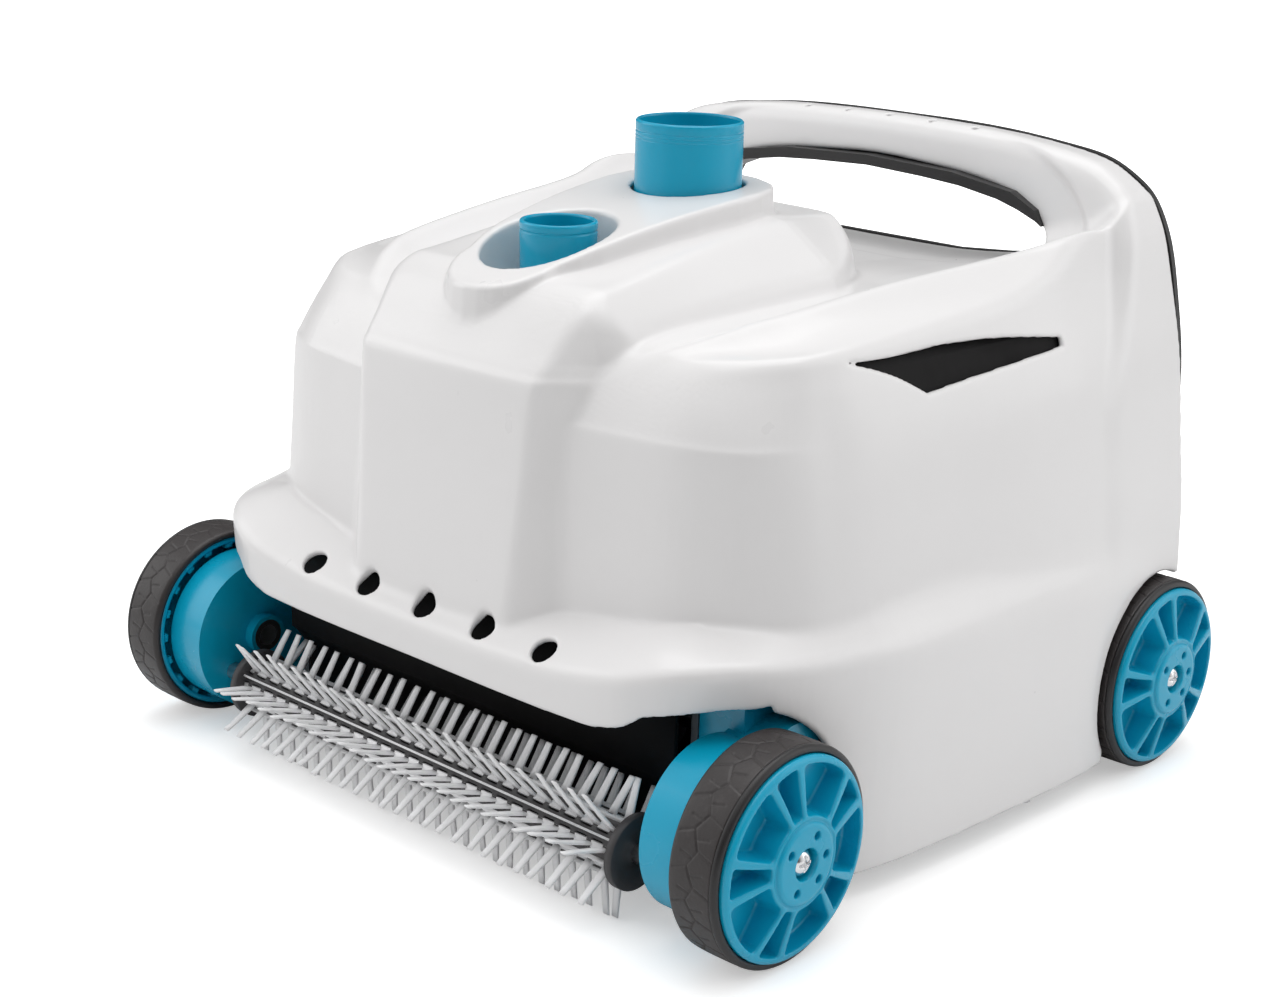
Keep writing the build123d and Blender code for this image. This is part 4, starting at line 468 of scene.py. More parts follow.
def grip_opening(x, z):
    """Distance from the outline of the hand opening under the arch."""
    hole = [(0, 264), (33, 262.4), (55, 260.5), (77, 256.5), (90, 251), (100, 243.5), (105, 236),
            (104, 232.5), (98, 229.3), (86, 226), (69, 223.5), (40, 221), (0, 220.5)]
    ring = smooth_points(mirrored(hole[::-1]), True, 3)
    return outline_field(x[:, 0, :], z[:, 0, :], ring)[:, None, :]


def rear_arch(x, y, z, grip):
    """The arch at the back; the face round its opening is set back and ends in a soft crease."""
    side_line = [(70, 281), (100, 278), (121, 274), (134, 267.6), (142, 261.7), (149, 252),
                 (154, 240.7), (159.5, 219), (164, 195), (166.7, 172), (168.6, 148), (172, 124.5)]
    arch_line = smooth_points(mirrored([(0, 282.7), (35, 282.3)] + side_line + [(173, 90), (172, 60)]),
                              False, 3)
    around = outline_field(x[:, 0, :], z[:, 0, :], arch_line)[:, None, :]
    lean = 126 + np.clip(z - 215, -40, 80) * 0.2
    border = np.clip((26 - grip) / 6, 0, 1) * np.clip((z - 214) / 12, 0, 1)
    crown = np.clip((np.abs(x) - 128) / 40, 0, 1) ** 2 * 18
    front = (lean + border * border * (3 - 2 * border) * 3 - crown - y) * 0.95
    return smax(smax(around, front, 9), y - BACK_Y, 2.5)


def shell_field(x, y, z):
    """The casing's outside and its hollow as sampled fields over open grids in millimetres."""
    ax = np.abs(x)
    grip = grip_opening(x, z)
    body = smax(steep_walls(x, y, z), crested_top(ax, y, z), 4)
    body = smin(body, middle_panel(ax, y, z), 3)
    body = smin(body, pedestal(x, y, z), 2.2)
    body = smin(body, skirt(x, y, z), 3)
    body = smin(body, rear_arch(x, y, z, grip), 12)
    body = smax(body, y - BACK_Y, 2)
    body = smax(body, -smax(grip, 112 - y, 2), 3)
    # hollow, but solid behind the panel's steep rear end, where the wall would be too thin
    cavity = np.maximum(body + WALL, y - BACK_Y + WALL)
    rear_end = box_field(x, y, z, (-64, 50, 221), (64, 74, 262))
    return body, np.maximum(cavity, -rear_end)


def lightened(points, faces, close):
    """Triangles of a mesh whose halves are joined at x = 0, with plain areas coarser."""
    fine_mesh = bpy.data.meshes.new("whole")
    whole = bmesh.new()
    fine_mesh.from_pydata(points.tolist(), [], faces.tolist())
    whole.from_mesh(fine_mesh)
    seam = [v for v in whole.verts if abs(v.co.x) < close]
    bmesh.ops.remove_doubles(whole, verts=seam, dist=close)
    whole.to_mesh(fine_mesh)
    whole.free()
    holder = bpy.data.objects.new("whole", fine_mesh)
    bpy.context.collection.objects.link(holder)
    fewer = holder.modifiers.new("fewer", "DECIMATE")
    fewer.ratio = 0.3
    bpy.context.view_layer.update()
    evaluated = holder.evaluated_get(bpy.context.evaluated_depsgraph_get())
    result = bpy.data.meshes.new_from_object(evaluated)
    result.calc_loop_triangles()
    out = np.empty(len(result.vertices) * 3)
    result.vertices.foreach_get("co", out)
    triangles = np.empty(len(result.loop_triangles) * 3, np.int32)
    result.loop_triangles.foreach_get("vertices", triangles)
    bpy.data.objects.remove(holder)
    bpy.data.meshes.remove(fine_mesh)
    bpy.data.meshes.remove(result)
    return out.reshape(-1, 3), triangles.reshape(-1, 3)


def box_field(x, y, z, lo, hi, k=1.0):
    """Distance from a box between two corners, with its edges blended by k."""
    f = smax(np.abs(x - (lo[0] + hi[0]) / 2) - (hi[0] - lo[0]) / 2,
             np.abs(y - (lo[1] + hi[1]) / 2) - (hi[1] - lo[1]) / 2, k)
    return smax(f, np.abs(z - (lo[2] + hi[2]) / 2) - (hi[2] - lo[2]) / 2, k)


def top_openings(body, cavity, x, y, z):
    """The hollow casing with the nozzle's recess and the holes for nozzle and hose inlet."""
    ellipse = (np.sqrt((x / RECESS_HALF_X) ** 2 + ((y - RECESS_Y) / RECESS_HALF_Y) ** 2) - 1) * 28
    cup = np.maximum(ellipse - WALL, RECESS_FLOOR - WALL - z)
    f = np.maximum(body, -np.maximum(cavity, -cup))
    f = smax(f, -smax(ellipse, RECESS_FLOOR - z, 4), 2)
    nozzle_hole = np.sqrt(x ** 2 + (y - NOZZLE_Y) ** 2) - NOZZLE_HOLE_R
    f = np.maximum(f, -np.maximum(nozzle_hole, np.abs(z - 224) - 6))
    tube_hole = np.sqrt(x ** 2 + (y - TUBE_Y) ** 2) - TUBE_HOLE_R
    return smax(f, -np.maximum(tube_hole, 236 - z), 1.6)


def base_openings(f, body, x, y, z):
    """The open base, the brush bay, and the openings at the four wheels."""
    ax = np.abs(x)
    f = smax(f, BASE_Z - z, 1.2)
    bay_top = curve(ax, [(0, 80), (90, 80), (108, 81.5), (125, 86), (140, 89.5), (152, 92.5),
                         (165, 96), (185, 98)])
    bay = smax(z - bay_top, y + line(ax, [(150, 96.5), (163, 126)]), 2)
    f = smax(f, -bay, 1.6)
    front_round = np.sqrt((y - FRONT_Y) ** 2 + (z - AXLE_Z) ** 2)
    f = smax(f, -smax(front_round - line(ax, [(112, 42), (126, 49.5)]), 112 - ax, 2), 1.6)
    rear_round = np.sqrt((y - REAR_Y) ** 2 + (z - AXLE_Z) ** 2)
    pocket = np.maximum(rear_round - REAR_WELL_R - WALL, np.maximum(REAR_WELL_X - WALL - ax, body))
    f = np.minimum(f, np.maximum(pocket, BASE_Z - z))
    f = smax(f, -smax(rear_round - REAR_WELL_R, REAR_WELL_X - ax, 2), 1.6)
    f = np.maximum(f, -np.maximum(rear_round - AXLE_HOLE_R, 150 - ax))
    return smax(f, -smax(96 - y, z - 17, 2), 1.2)


def small_openings(f, x, y, z):
    """The vents in both flanks, five drain holes, dimples along the arch, and the drawer's door."""
    vent_line = np.vstack([smooth_points(VENT[:8], False, 4), smooth_points(VENT[8:12], False, 4),
                           smooth_points(VENT[11:], False, 4)])
    vent = outline_field(y[0], z[0], vent_line)[None]
    f = smax(f, -np.maximum(vent, 120 - np.abs(x)), 1.8)
    for place in range(-2, 3):
        along = (x - place * DRAIN_PITCH) ** 2
        across = (y - DRAIN_Y) * 0.8232 + (z - DRAIN_Z) * 0.5677
        drain = np.maximum(np.sqrt(along + across * across) - DRAIN_R, np.abs(z - 100) - 24)
        f = smax(f, -drain, 1.2)
        dimple = np.sqrt((x - place * DIMPLE_PITCH) ** 2 + (y - DIMPLE_Y) ** 2) - DIMPLE_R
        f = np.maximum(f, -np.maximum(dimple, DIMPLE_FLOOR - z))
    return smax(f, -box_field(x, y, z, DOOR_LOW, DOOR_HIGH), 1.2)


def carved_shell():
    """The finished shell: points, faces and normals, in millimetres."""
    lo, hi = np.array([-1.5 * SHELL_PITCH, -168, 8.0]), np.array([188, 162, 287.0])
    n = np.ceil((hi - lo) / SHELL_PITCH).astype(int)
    x = (lo[0] + SHELL_PITCH * np.arange(n[0])).astype(np.float32)[:, None, None]
    y = (lo[1] + SHELL_PITCH * np.arange(n[1])).astype(np.float32)[None, :, None]
    z = (lo[2] + SHELL_PITCH * np.arange(n[2])).astype(np.float32)[None, None, :]
    body, cavity = shell_field(x, y, z)
    f = top_openings(body, cavity, x, y, z)
    f = base_openings(f, body, x, y, z)
    f = small_openings(f, x, y, z)
    points, faces = surface_net(f, lo, SHELL_PITCH)
    points = relaxed(f, lo, SHELL_PITCH, points, faces)
    # the other half, and fewer faces where the surface is plain
    faces = faces[(points[faces][:, :, 0] > -0.25 * SHELL_PITCH).all(axis=1)]
    used = np.unique(faces)
    renumber = np.zeros(len(points), np.int64)
    renumber[used] = np.arange(len(used))
    points, faces = points[used], renumber[faces]
    other = (points * (-1, 1, 1), faces[:, ::-1] + len(points))
    points, faces = np.vstack([points, other[0]]), np.vstack([faces, other[1]])
    points, faces = lightened(points, faces, SHELL_PITCH * 0.3)
    where = np.column_stack([np.abs(points[:, 0]), points[:, 1:]])
    normals = sampled_normals(f, lo, SHELL_PITCH, where)
    normals[points[:, 0] < 0] *= (-1, 1, 1)
    return points, faces, normals

shell_points, shell_faces, shell_normals = carved_shell()
shell = make_mesh("shell", shell_points, shell_faces, shell_normals)
dress(shell, "root", "shell_white", materials["shell_white"], "body_shell")


# ---- wheels -----------------------------------------------------------------
TYRE_R, TYRE_IN, TYRE_OUT = 45.0, 162.1, 185.5
RIM_R, RIM_FACE, HUB_FACE, HUB_R = 41.5, 188.3, 193.2, 16.4
POCKET_FLOOR, WEB_BACK = 180.3, 176.3
HUB_HOLE_ANGLES, HUB_HOLES_R, HUB_HOLE_R = (61, 3, -48, -115, 144), 11.6, 1.7
WHEEL_PITCH = 0.6
SIPE_DEPTH = 0.45
# painted shade: a darker copy of the tyre's rubber for its outer shoulder, where the shade falls
shoulder_shade_black = surface("shoulder_shade_black", (0.012, 0.011, 0.012), 0.38, grain=700, bump=0.04, tint=0.1)


def rim_field(x, y, z):
    """The wheel's rim about the X axis, with its web of wide and narrow pockets."""
    r = np.sqrt(y * y + z * z)
    turn = np.degrees(np.arctan2(z, y))
    top = line(r, [(0, HUB_FACE), (HUB_R - 1.2, HUB_FACE - 0.1), (HUB_R, HUB_FACE - 0.6),
                   (HUB_R + 1.2, HUB_FACE - 0.9), (38.6, RIM_FACE + 0.4), (40.2, RIM_FACE),
                   (RIM_R, RIM_FACE - 0.9)])
    body = smax(smax(r - RIM_R, x - top, 0.8), 162.8 - x, 0.8)
    boss = smax(r - 12.5, 167.9 - x, 0.8)
    barrel = np.maximum(np.maximum(r - 38.6, x - WEB_BACK), -boss)
    body = smax(body, -barrel, 1.2)
    notch = np.abs((turn + 9) % 18 - 9) * np.radians(r) - 2.0
    ring = smax(smax(np.maximum(36.2 - r, r - 39), np.abs(x - 165.6) - 2.2, 0.6), notch, 0.6)
    body = np.minimum(body, ring)
    # pockets: wide ones centred on 67 degrees and every 72 from there, narrow ones between
    off = np.abs((turn - 67 + 36) % 72 - 36)
    draft = (RIM_FACE - x) * 0.10
    ends = smax(19.4 - r, r - 38.5, 2.0) + draft
    wide = smax((off - 21) * np.radians(r) + draft, ends, 2.6)
    half = 6.6 + (r - 19) * 0.14
    narrow = smax((36 - off - half) * np.radians(r) + draft, ends, 1.8)
    pocket = smax(np.minimum(wide, narrow), POCKET_FLOOR - x, 1.2)
    body = smax(body, -pocket, 0.9)
    # the hub: groove, five moulding holes and the screw's recess
    body = smax(body, 0.75 - np.hypot(r - 17.3, (x - HUB_FACE + 0.6) * 0.7), 0.6)
    for angle in HUB_HOLE_ANGLES:
        hole = np.hypot(y - HUB_HOLES_R * cos(radians(angle)), z - HUB_HOLES_R * sin(radians(angle)))
        body = smax(body, -np.maximum(hole - HUB_HOLE_R, HUB_FACE - 2.6 - x), 0.7)
    body = smax(body, -smax(r - 6.5, 187.8 - x, 0.5), 0.7)
    return np.maximum(body, -np.maximum(r - 5.12, x - 189))


def rim_mesh():
    lo = np.array([161.5, -43.0, -43.0])
    x, y, z = (np.arange(a, b, WHEEL_PITCH, np.float32) for a, b in zip(lo, (194.6, 43, 43)))
    field = rim_field(x[:, None, None], y[None, :, None], z[None, None, :])
    points, faces = surface_net(field, lo, WHEEL_PITCH)
    return points, faces, sampled_normals(field, lo, WHEEL_PITCH, points)


def groove(s, t):
    """Depth from 0 to 1 of the tread's irregular zigzag sipes at s across and t along, in mm."""
    pitch = 2 * pi * TYRE_R / 20
    u = t % pitch
    near = np.full(np.broadcast(s, t).shape, 9.0)
    sipes = [(0, 1.5, 0.45 * pitch, -2.5), (0.45 * pitch, -2.5, pitch, 1.5),
             (0.45 * pitch, -2.5, 0.7 * pitch, -11), (0, 1.5, 0.22 * pitch, 11),
             (0.72 * pitch, -0.6, 0.62 * pitch, 5.5), (0.2 * pitch, -0.4, 0.12 * pitch, -6)]
    for ax, ay, bx, by in sipes:
        for shift in (-pitch, 0, pitch):
            dx, dy = bx - ax, by - ay
            f = np.clip(((u - ax - shift) * dx + (s - ay) * dy) / (dx * dx + dy * dy), 0, 1)
            near = np.minimum(near, np.hypot(u - ax - shift - f * dx, s - ay - f * dy))
    return np.clip(1.2 - near / 0.45, 0, 1)


def revolved_grid(profile, steps, depth=None):
    """A closed profile of (x, r) swept about the X axis; depth lowers r at (x, arc)."""
    p = np.array(profile, float)
    turn = np.arange(steps) * 2 * pi / steps
    x = np.repeat(p[None, :, 0], steps, 0)
    r = np.repeat(p[None, :, 1], steps, 0)
    if depth is not None:
        r = r - depth(x, r, turn[:, None] * TYRE_R)
    points = np.stack([x, r * np.cos(turn)[:, None], r * np.sin(turn)[:, None]], -1).reshape(-1, 3)
    return points, ring_faces(steps, len(p))


def tyre_mesh():
    shoulder = [(TYRE_IN, 41.8), (TYRE_IN, 42.8), (TYRE_IN + 0.25, 43.6), (TYRE_IN + 0.8, 44.2),
                (TYRE_IN + 1.6, 44.7)]
    far = [(TYRE_OUT - 2.4, 44.4), (TYRE_OUT - 2.0, 43.6), (TYRE_OUT - 1.8, 42.6),
           (TYRE_OUT - 1.8, 41.8)]
    middle = (TYRE_IN + TYRE_OUT) / 2
    tread = [(x, TYRE_R - 0.3 * ((x - middle) / 10.1) ** 4)
             for x in np.arange(TYRE_IN + 2.2, TYRE_OUT - 2.7, 0.45)]

    def depth(x, r, arc):
        edge = np.clip((10.2 - np.abs(x - middle)) / 1.2, 0, 1)
        return np.where(r > 44.3, SIPE_DEPTH * groove(x - middle, arc) * edge, 0)
    return revolved_grid(shoulder + tread + far, 600, depth)


def placed(points, side, y):
    out = points + (0, y, AXLE_Z)
    return out * (side, 1, 1)


def screw_mesh():
    """The domed head of the wheel's screw with its cross recess, and a short shank, about X."""
    pitch = 0.3
    lo = np.array([181.0, -7.0, -7.0])
    x, y, z = (np.arange(a, b, pitch, np.float32) for a, b in zip(lo, (193, 7, 7)))
    x, y, z = x[:, None, None], y[None, :, None], z[None, None, :]
    r = np.sqrt(y * y + z * z)
    dome = np.sqrt(r * r + (x - 186.0) ** 2) - 6.9
    head = smax(smax(r - 6.1, dome, 0.8), 187.9 - x, 0.5)
    head = smin(head, np.maximum(r - 4.6, 181.6 - x), 0.2)
    head = np.maximum(head, dome)
    cross = np.minimum(np.maximum(np.abs(y) - 0.85, np.abs(z) - 3.6),
                       np.maximum(np.abs(z) - 0.85, np.abs(y) - 3.6))
    head = smax(head, -smax(cross + (192.9 - x) * 0.28, 189.9 - x, 0.4), 0.4)
    points, faces = surface_net(head, lo, pitch)
    return points, faces, sampled_normals(head, lo, pitch, points)


def lip_mesh():
    """The tyre's smooth outer shoulder, in a darker copy of the rubber that paints the shade on it."""
    return revolved_grid([(182.9, 43.4), (182.9, 44.6), (183.5, 44.88), (184.4, 44.75), (185.2, 44.2),
                          (185.75, 43.4), (185.85, 42.5), (185.6, 41.75), (184.0, 41.7)], 200)


rim_points, rim_faces, rim_normals = rim_mesh()
tyre_points, tyre_faces = tyre_mesh()
screw_points, screw_faces, screw_normals = screw_mesh()
lip_points, lip_faces = lip_mesh()
for where, y in (("front", FRONT_Y), ("rear", REAR_Y)):
    for hand, side in (("left", -1), ("right", 1)):
        body = f"{where}_{hand}_wheel"
        turn = slice(None, None, side)
        rim = make_mesh(f"{where}_rim_{hand}", placed(rim_points, side, y), rim_faces[:, turn],
                        rim_normals * (side, 1, 1))
        dress(rim, body, "wheel_blue", materials["wheel_blue"], f"{where}_wheel_{hand}")
        tyre = make_mesh(f"{where}_tread_{hand}", placed(tyre_points, side, y), tyre_faces[:, turn])
        dress(tyre, body, "tyre_grey", materials["tyre_grey"], f"{where}_tyre_{hand}")
        # the shoulder takes the darker copy of the rubber, which paints its shade
        lip = make_mesh(f"{where}_shoulder_{hand}", placed(lip_points, side, y), lip_faces[:, turn])
        dress(lip, body, "tyre_grey", shoulder_shade_black)
        screw = make_mesh(f"{where}_cap_screw_{hand}", placed(screw_points, side, y),
                          screw_faces[:, turn], screw_normals * (side, 1, 1))
        if where == "front":
            dress(screw, body, "screw_chrome", materials["screw_chrome"], f"front_screw_{hand}")
        else:
            dress(screw, "root", "screw_chrome", materials["screw_chrome"])
            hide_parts("rear_screws")


# ---- hose inlet and thrust nozzle ---------------------------------------------
def lathe(profile, centre, steps=128):
    """A closed profile of (r, z) turned about a vertical axis through centre (x, y)."""
    p = np.array(profile, float)
    turn = np.arange(steps) * 2 * pi / steps
    r = np.repeat(p[None, :, 0], steps, 0)
    z = np.repeat(p[None, :, 1], steps, 0)
    points = np.stack([centre[0] + r * np.cos(turn)[:, None], centre[1] + r * np.sin(turn)[:, None], z],
                      -1).reshape(-1, 3)
    return points, ring_faces(steps, len(p))


def eased(profile, radius=0.5, steps=3):
    """A closed profile with its corners rounded."""
    p = [np.array(q, float) for q in profile]
    out = []
    for i, corner in enumerate(p):
        before, after = p[i - 1], p[(i + 1) % len(p)]
        a, b = before - corner, after - corner
        la, lb = np.linalg.norm(a), np.linalg.norm(b)
        cut = min(radius, la * 0.45, lb * 0.45)
        start, end = corner + a / la * cut, corner + b / lb * cut
        for s in range(steps + 1):
            t = s / steps
            out.append((1 - t) ** 2 * start + 2 * t * (1 - t) * corner + t * t * end)
    return out


TUBE_R, TUBE_TOP = 24.15, 291.7
tube_profile = [(19.3, 224), (22, 224), (22, 238), (26.7, 238), (26.7, 242), (TUBE_R - 0.1, 242.2),
                (TUBE_R, 283.3), (TUBE_R - 0.13, 283.5), (TUBE_R - 0.13, 283.7), (TUBE_R, 283.9),
                (TUBE_R, 284.9), (TUBE_R - 0.13, 285.1), (TUBE_R - 0.13, 285.3), (TUBE_R, 285.5),
                (TUBE_R, 286.6), (TUBE_R - 0.2, 286.8), (TUBE_R - 0.2, 287.2), (TUBE_R - 0.03, 287.5),
                (TUBE_R, 290.9), (TUBE_R - 0.8, TUBE_TOP), (TUBE_R - 1.3, TUBE_TOP),
                (TUBE_R - 1.7, 290.8), (TUBE_R - 1.7, 285.7), (TUBE_R - 2.6, 284.8),
                (TUBE_R - 2.7, 244), (19.3, 242)]
tube = make_mesh("hose_tube", *lathe(eased(tube_profile, 0.35), (0, TUBE_Y)))
dress(tube, "inlet", "tube_blue", materials["tube_blue"], "hose_inlet")

ball = [(22 * cos(a), 212 + 22 * sin(a)) for a in np.radians(np.linspace(-28.4, 36.8, 14))]
nozzle_profile = ([(12.3, 201.6)] + ball
                  + [(16.6, 226), (16.4, 231), (16.4, 240), (16.66, 251.4), (16.4, 251.8),
                     (16.4, 252.3), (16.7, 252.7), (16.7, 255.3), (16.2, 256), (15, 256),
                     (14.5, 255.2), (14.35, 244), (14.3, 218), (12.3, 217)])
nozzle = make_mesh("jet_nozzle", *lathe(eased(nozzle_profile, 0.3), (0, NOZZLE_Y)))
dress(nozzle, "nozzle", "tube_blue", materials["tube_blue"], "thrust_nozzle")


# ---- brush roller -------------------------------------------------------------
BRUSH_CORE_R, BRUSH_R, BRUSH_HALF = 12.0, 29.4, 118.0
ROW_ANGLE, ROWS, TUFT_PITCH, TUFT_START = 168.0, 8, 9.1, -113.4
FLANGE_R = 15.8
LEANS = (-6, -1, 6, -6, 6, -6, 7, -7)


def core_mesh():
    """The core: pits at the tufts' roots, a thin rib between rows, and a flange at each end."""
    flange = BRUSH_HALF + np.array((0, 0.3, 3.7, 4, 4))
    x = np.concatenate([-flange[::-1], np.arange(-BRUSH_HALF + 0.01, BRUSH_HALF - 0.01, 0.65), flange])
    steps = 160
    turn = np.arange(steps) * 360 / steps
    r = np.full((steps, len(x)), BRUSH_CORE_R - 0.8)
    row = np.abs((turn[:, None] - ROW_ANGLE + 22.5) % 45 - 22.5)
    along = np.abs((x[None, :] - TUFT_START + TUFT_PITCH / 2) % TUFT_PITCH - TUFT_PITCH / 2)
    pit = np.clip((3.0 - np.abs(TUFT_PITCH / 2 - along)) / 0.6, 0, 1) * np.clip((13 - row) / 3, 0, 1)
    rib = np.clip((row - 18.5) / 2.5, 0, 1)
    r = r - 4.6 * pit + 0.9 * rib
    r[:, :5] = FLANGE_R
    r[:, -5:] = FLANGE_R
    r[:, 0] = r[:, -1] = 4.2
    r[:, 1] = r[:, -2] = FLANGE_R - 0.4
    r[:, 4] = r[:, -5] = FLANGE_R - 0.4
    points = np.stack([np.repeat(x[None, :], steps, 0),
                       BRUSH_Y + r * np.cos(np.radians(turn))[:, None],
                       BRUSH_Z + r * np.sin(np.radians(turn))[:, None]], -1).reshape(-1, 3)
    return points, ring_faces(steps, len(x))


core = make_mesh("roller_core", *core_mesh())
dress(core, "brush", "core_black", materials["core_black"], "brush_core")


def tuft(root, out, across, lean, length, bend):
    """A flat tapering strip: rings of points from its root outwards."""
    along = np.array((1.0, 0, 0))
    rings = []
    for s in np.linspace(0, 1, 6):
        centre = root + out * (length * s) + along * (lean * s) + across * (bend * s * s)
        wide, thick = 2.1 - 0.5 * s, 0.8 - 0.3 * s
        corners = [(-wide, -thick * 0.5), (-wide * 0.6, -thick), (wide * 0.6, -thick),
                   (wide, -thick * 0.5), (wide, thick * 0.5), (wide * 0.6, thick),
                   (-wide * 0.6, thick), (-wide, thick * 0.5)]
        rings.append([centre + along * a + across * b for a, b in corners])
    return np.array(rings)


def bar(place, outward, across, section):
    """Points and faces of a bar along the roller with a four-sided section of (across, outward)."""
    points = [np.array((x, *place)) + outward * (BRUSH_CORE_R + t) + across * s
              for x in (-BRUSH_HALF + 0.4, BRUSH_HALF - 0.4) for s, t in section]
    faces = [(k, (k + 1) % 4, 4 + (k + 1) % 4, 4 + k) for k in range(4)]
    return points, faces + [(3, 2, 1, 0), (4, 5, 6, 7)]


rng = np.random.default_rng(7)
for number in range(ROWS):
    angle = radians(ROW_ANGLE + number * 360 / ROWS)
    out = np.array((0, cos(angle), sin(angle)))
    across = np.array((0, -sin(angle), cos(angle)))
    # the rail that holds the row, and a thin pale rib between this row and the next, which is a painted
    # highlight along the core's edge
    points, faces = bar((BRUSH_Y, BRUSH_Z), out, across,
                        ((-1.5, -2.6), (1.5, -2.6), (1.5, -0.9), (-1.5, -0.9)))
    beside = angle + pi / ROWS
    highlight_rib_points, highlight_rib_faces = bar((BRUSH_Y, BRUSH_Z), np.array((0, cos(beside), sin(beside))),
                                np.array((0, -sin(beside), cos(beside))),
                                ((-0.55, -1.0), (0.55, -1.0), (0.4, 1.35), (-0.4, 1.35)))
    faces += [tuple(len(points) + k for k in face) for face in highlight_rib_faces]
    points += highlight_rib_points
    lean_row = LEANS[number]
    x = TUFT_START
    while x < BRUSH_HALF - 3:
        root = np.array((x, BRUSH_Y, BRUSH_Z)) + out * (BRUSH_CORE_R - 1.6)
        lean = np.clip(lean_row + rng.uniform(-0.8, 0.8), -BRUSH_HALF + 3 - x, BRUSH_HALF - 3 - x)
        rings = tuft(root, out, across, lean, BRUSH_R - BRUSH_CORE_R + 1.3 + rng.uniform(-0.8, 0),
                     rng.uniform(-1.2, 1.2))
        base = len(points)
        points.extend(rings.reshape(-1, 3))
        count = len(rings)
        for i in range(count - 1):
            for j in range(8):
                a, b = base + i * 8 + j, base + i * 8 + (j + 1) % 8
                faces.append((a, b, b + 8, a + 8))
        for start, turn in ((base, -1), (base + (count - 1) * 8, 1)):
            for a, b, c, d in ((0, 1, 6, 7), (1, 2, 5, 6), (2, 3, 4, 5)):
                quad = [start + k for k in (a, b, c, d)]
                faces.append(tuple(quad[::turn]))
        x += TUFT_PITCH
    strip = make_mesh(f"bristle_row_{number + 1}", points, faces)
    dress(strip, "brush", "bristle_clear", materials["bristle_clear"],
          *(["brush_bristles"] if number == 0 else []))


# ---- hood behind the brush ----------------------------------------------------
# open towards the front: an arc behind the roller, and a wall that rises from it
HOOD_R, HOOD_WALL, HOOD_HALF, HOOD_TOP = 30.5, 2.5, 120.9, 94.0
hood_start = np.arcsin((11.2 - BRUSH_Z) / HOOD_R)
hood_end = np.arccos(20 / HOOD_R)
inner_arc = [(BRUSH_Y + HOOD_R * cos(a), BRUSH_Z + HOOD_R * sin(a))
             for a in np.linspace(hood_start, hood_end, 24)]
outer = HOOD_R + HOOD_WALL
outer_arc = [(BRUSH_Y + outer * cos(a), BRUSH_Z + outer * sin(a))
             for a in np.linspace(np.arcsin((11.2 - BRUSH_Z) / outer), np.arccos(22.5 / outer), 24)]
profile = inner_arc + [(BRUSH_Y + 20, HOOD_TOP), (BRUSH_Y + 22.5, HOOD_TOP)] + outer_arc[::-1]
count = len(profile)
points = [(x, y, z) for x in (-HOOD_HALF, HOOD_HALF) for y, z in profile]
hood_faces = [(i, (i + 1) % count, count + (i + 1) % count, count + i) for i in range(count)]
ends = [(i, i + 1, count - 2 - i, count - 1 - i) for i in range(count // 2 - 1)]
hood_faces += [face[::-1] for face in ends] + [tuple(count + k for k in face) for face in ends]
hood = make_mesh("hood", points, hood_faces)
dress(hood, "root", "trim_dark", materials["hood_black_vent_shade"], "brush_hood")


# ---- the CAD nodes that stay --------------------------------------------------
SLOTS = {
    "trim_dark": ["handle_back_trim", "handle_grip"],
    "core_black": ["vent_screens"],
    "collar_white": ["swivel_collar"],
    "seal_black": ["inlet_seal"],
    "inner_grey": ["inlet_manifold", "nozzle_seat", "nozzle_retainer", "jet_pipes", "drawer_rails",
                   "turbine_housing", "turbine_cover", "gearbox_plate"],
    "chassis_grey": ["suction_throat_left", "suction_throat_right", "chassis"],
    "wheel_blue": ["drive_arm_left", "drive_arm_right", "drum_cover_left", "drum_cover_right"],
    "bush_black": ["stub_bushes", "rear_bush_left", "rear_bush_right"],
    "shaft_steel": ["brush_shaft", "plate_screws", "turbine_shaft", "lay_shaft", "drive_shaft",
                    "rear_axle", "stub_axle_left", "stub_axle_right"],
    "gear_natural": ["brush_gears", "turbine_pinion", "lay_gear", "drive_gear", "drive_pinions",
                     "wheel_gear_left", "wheel_gear_right"],
    "drawer_dark": ["debris_drawer"],
    "screen_mesh": ["debris_screen"],
    "button_blue": ["release_button"],
    "turbine_blue": ["turbine_wheel"],
}
# painted shade: the vent screens take the near-black hood material in place of their own, for the deep
# shadow inside the vents
PAINTED_SHADE_LOOKS = {"core_black": "hood_black_vent_shade"}        # the vents look like deep shadow
for slot_name, nodes_of_slot in SLOTS.items():
    look = materials[PAINTED_SHADE_LOOKS.get(slot_name, slot_name)]
    for node_name in nodes_of_slot:
        node = frame["nodes"][node_name]
        if not node.material_slots:
            node.data.materials.append(look)
        for entry in node.material_slots:
            entry.material = look


# ---- camera, light and floor ------------------------------------------------
CAMERA_POINT = (0.64867, -0.72386, 0.42062)
CAMERA_AZIMUTH = radians(42.836)
CAMERA_ELEVATION = radians(17.453)
CAMERA_ROLL = radians(1.526)
back = Vector((sin(CAMERA_AZIMUTH) * cos(CAMERA_ELEVATION),
               -cos(CAMERA_AZIMUTH) * cos(CAMERA_ELEVATION), sin(CAMERA_ELEVATION)))
right = Vector((cos(CAMERA_AZIMUTH), sin(CAMERA_AZIMUTH), 0))
up = back.cross(right)
rolled_right = right * cos(CAMERA_ROLL) + up * sin(CAMERA_ROLL)
rolled_up = up * cos(CAMERA_ROLL) - right * sin(CAMERA_ROLL)
camera_data = bpy.data.cameras.new("camera")
camera_data.lens = 61.42
camera_data.sensor_width = 36.0
camera = bpy.data.objects.new("camera", camera_data)
bpy.context.collection.objects.link(camera)
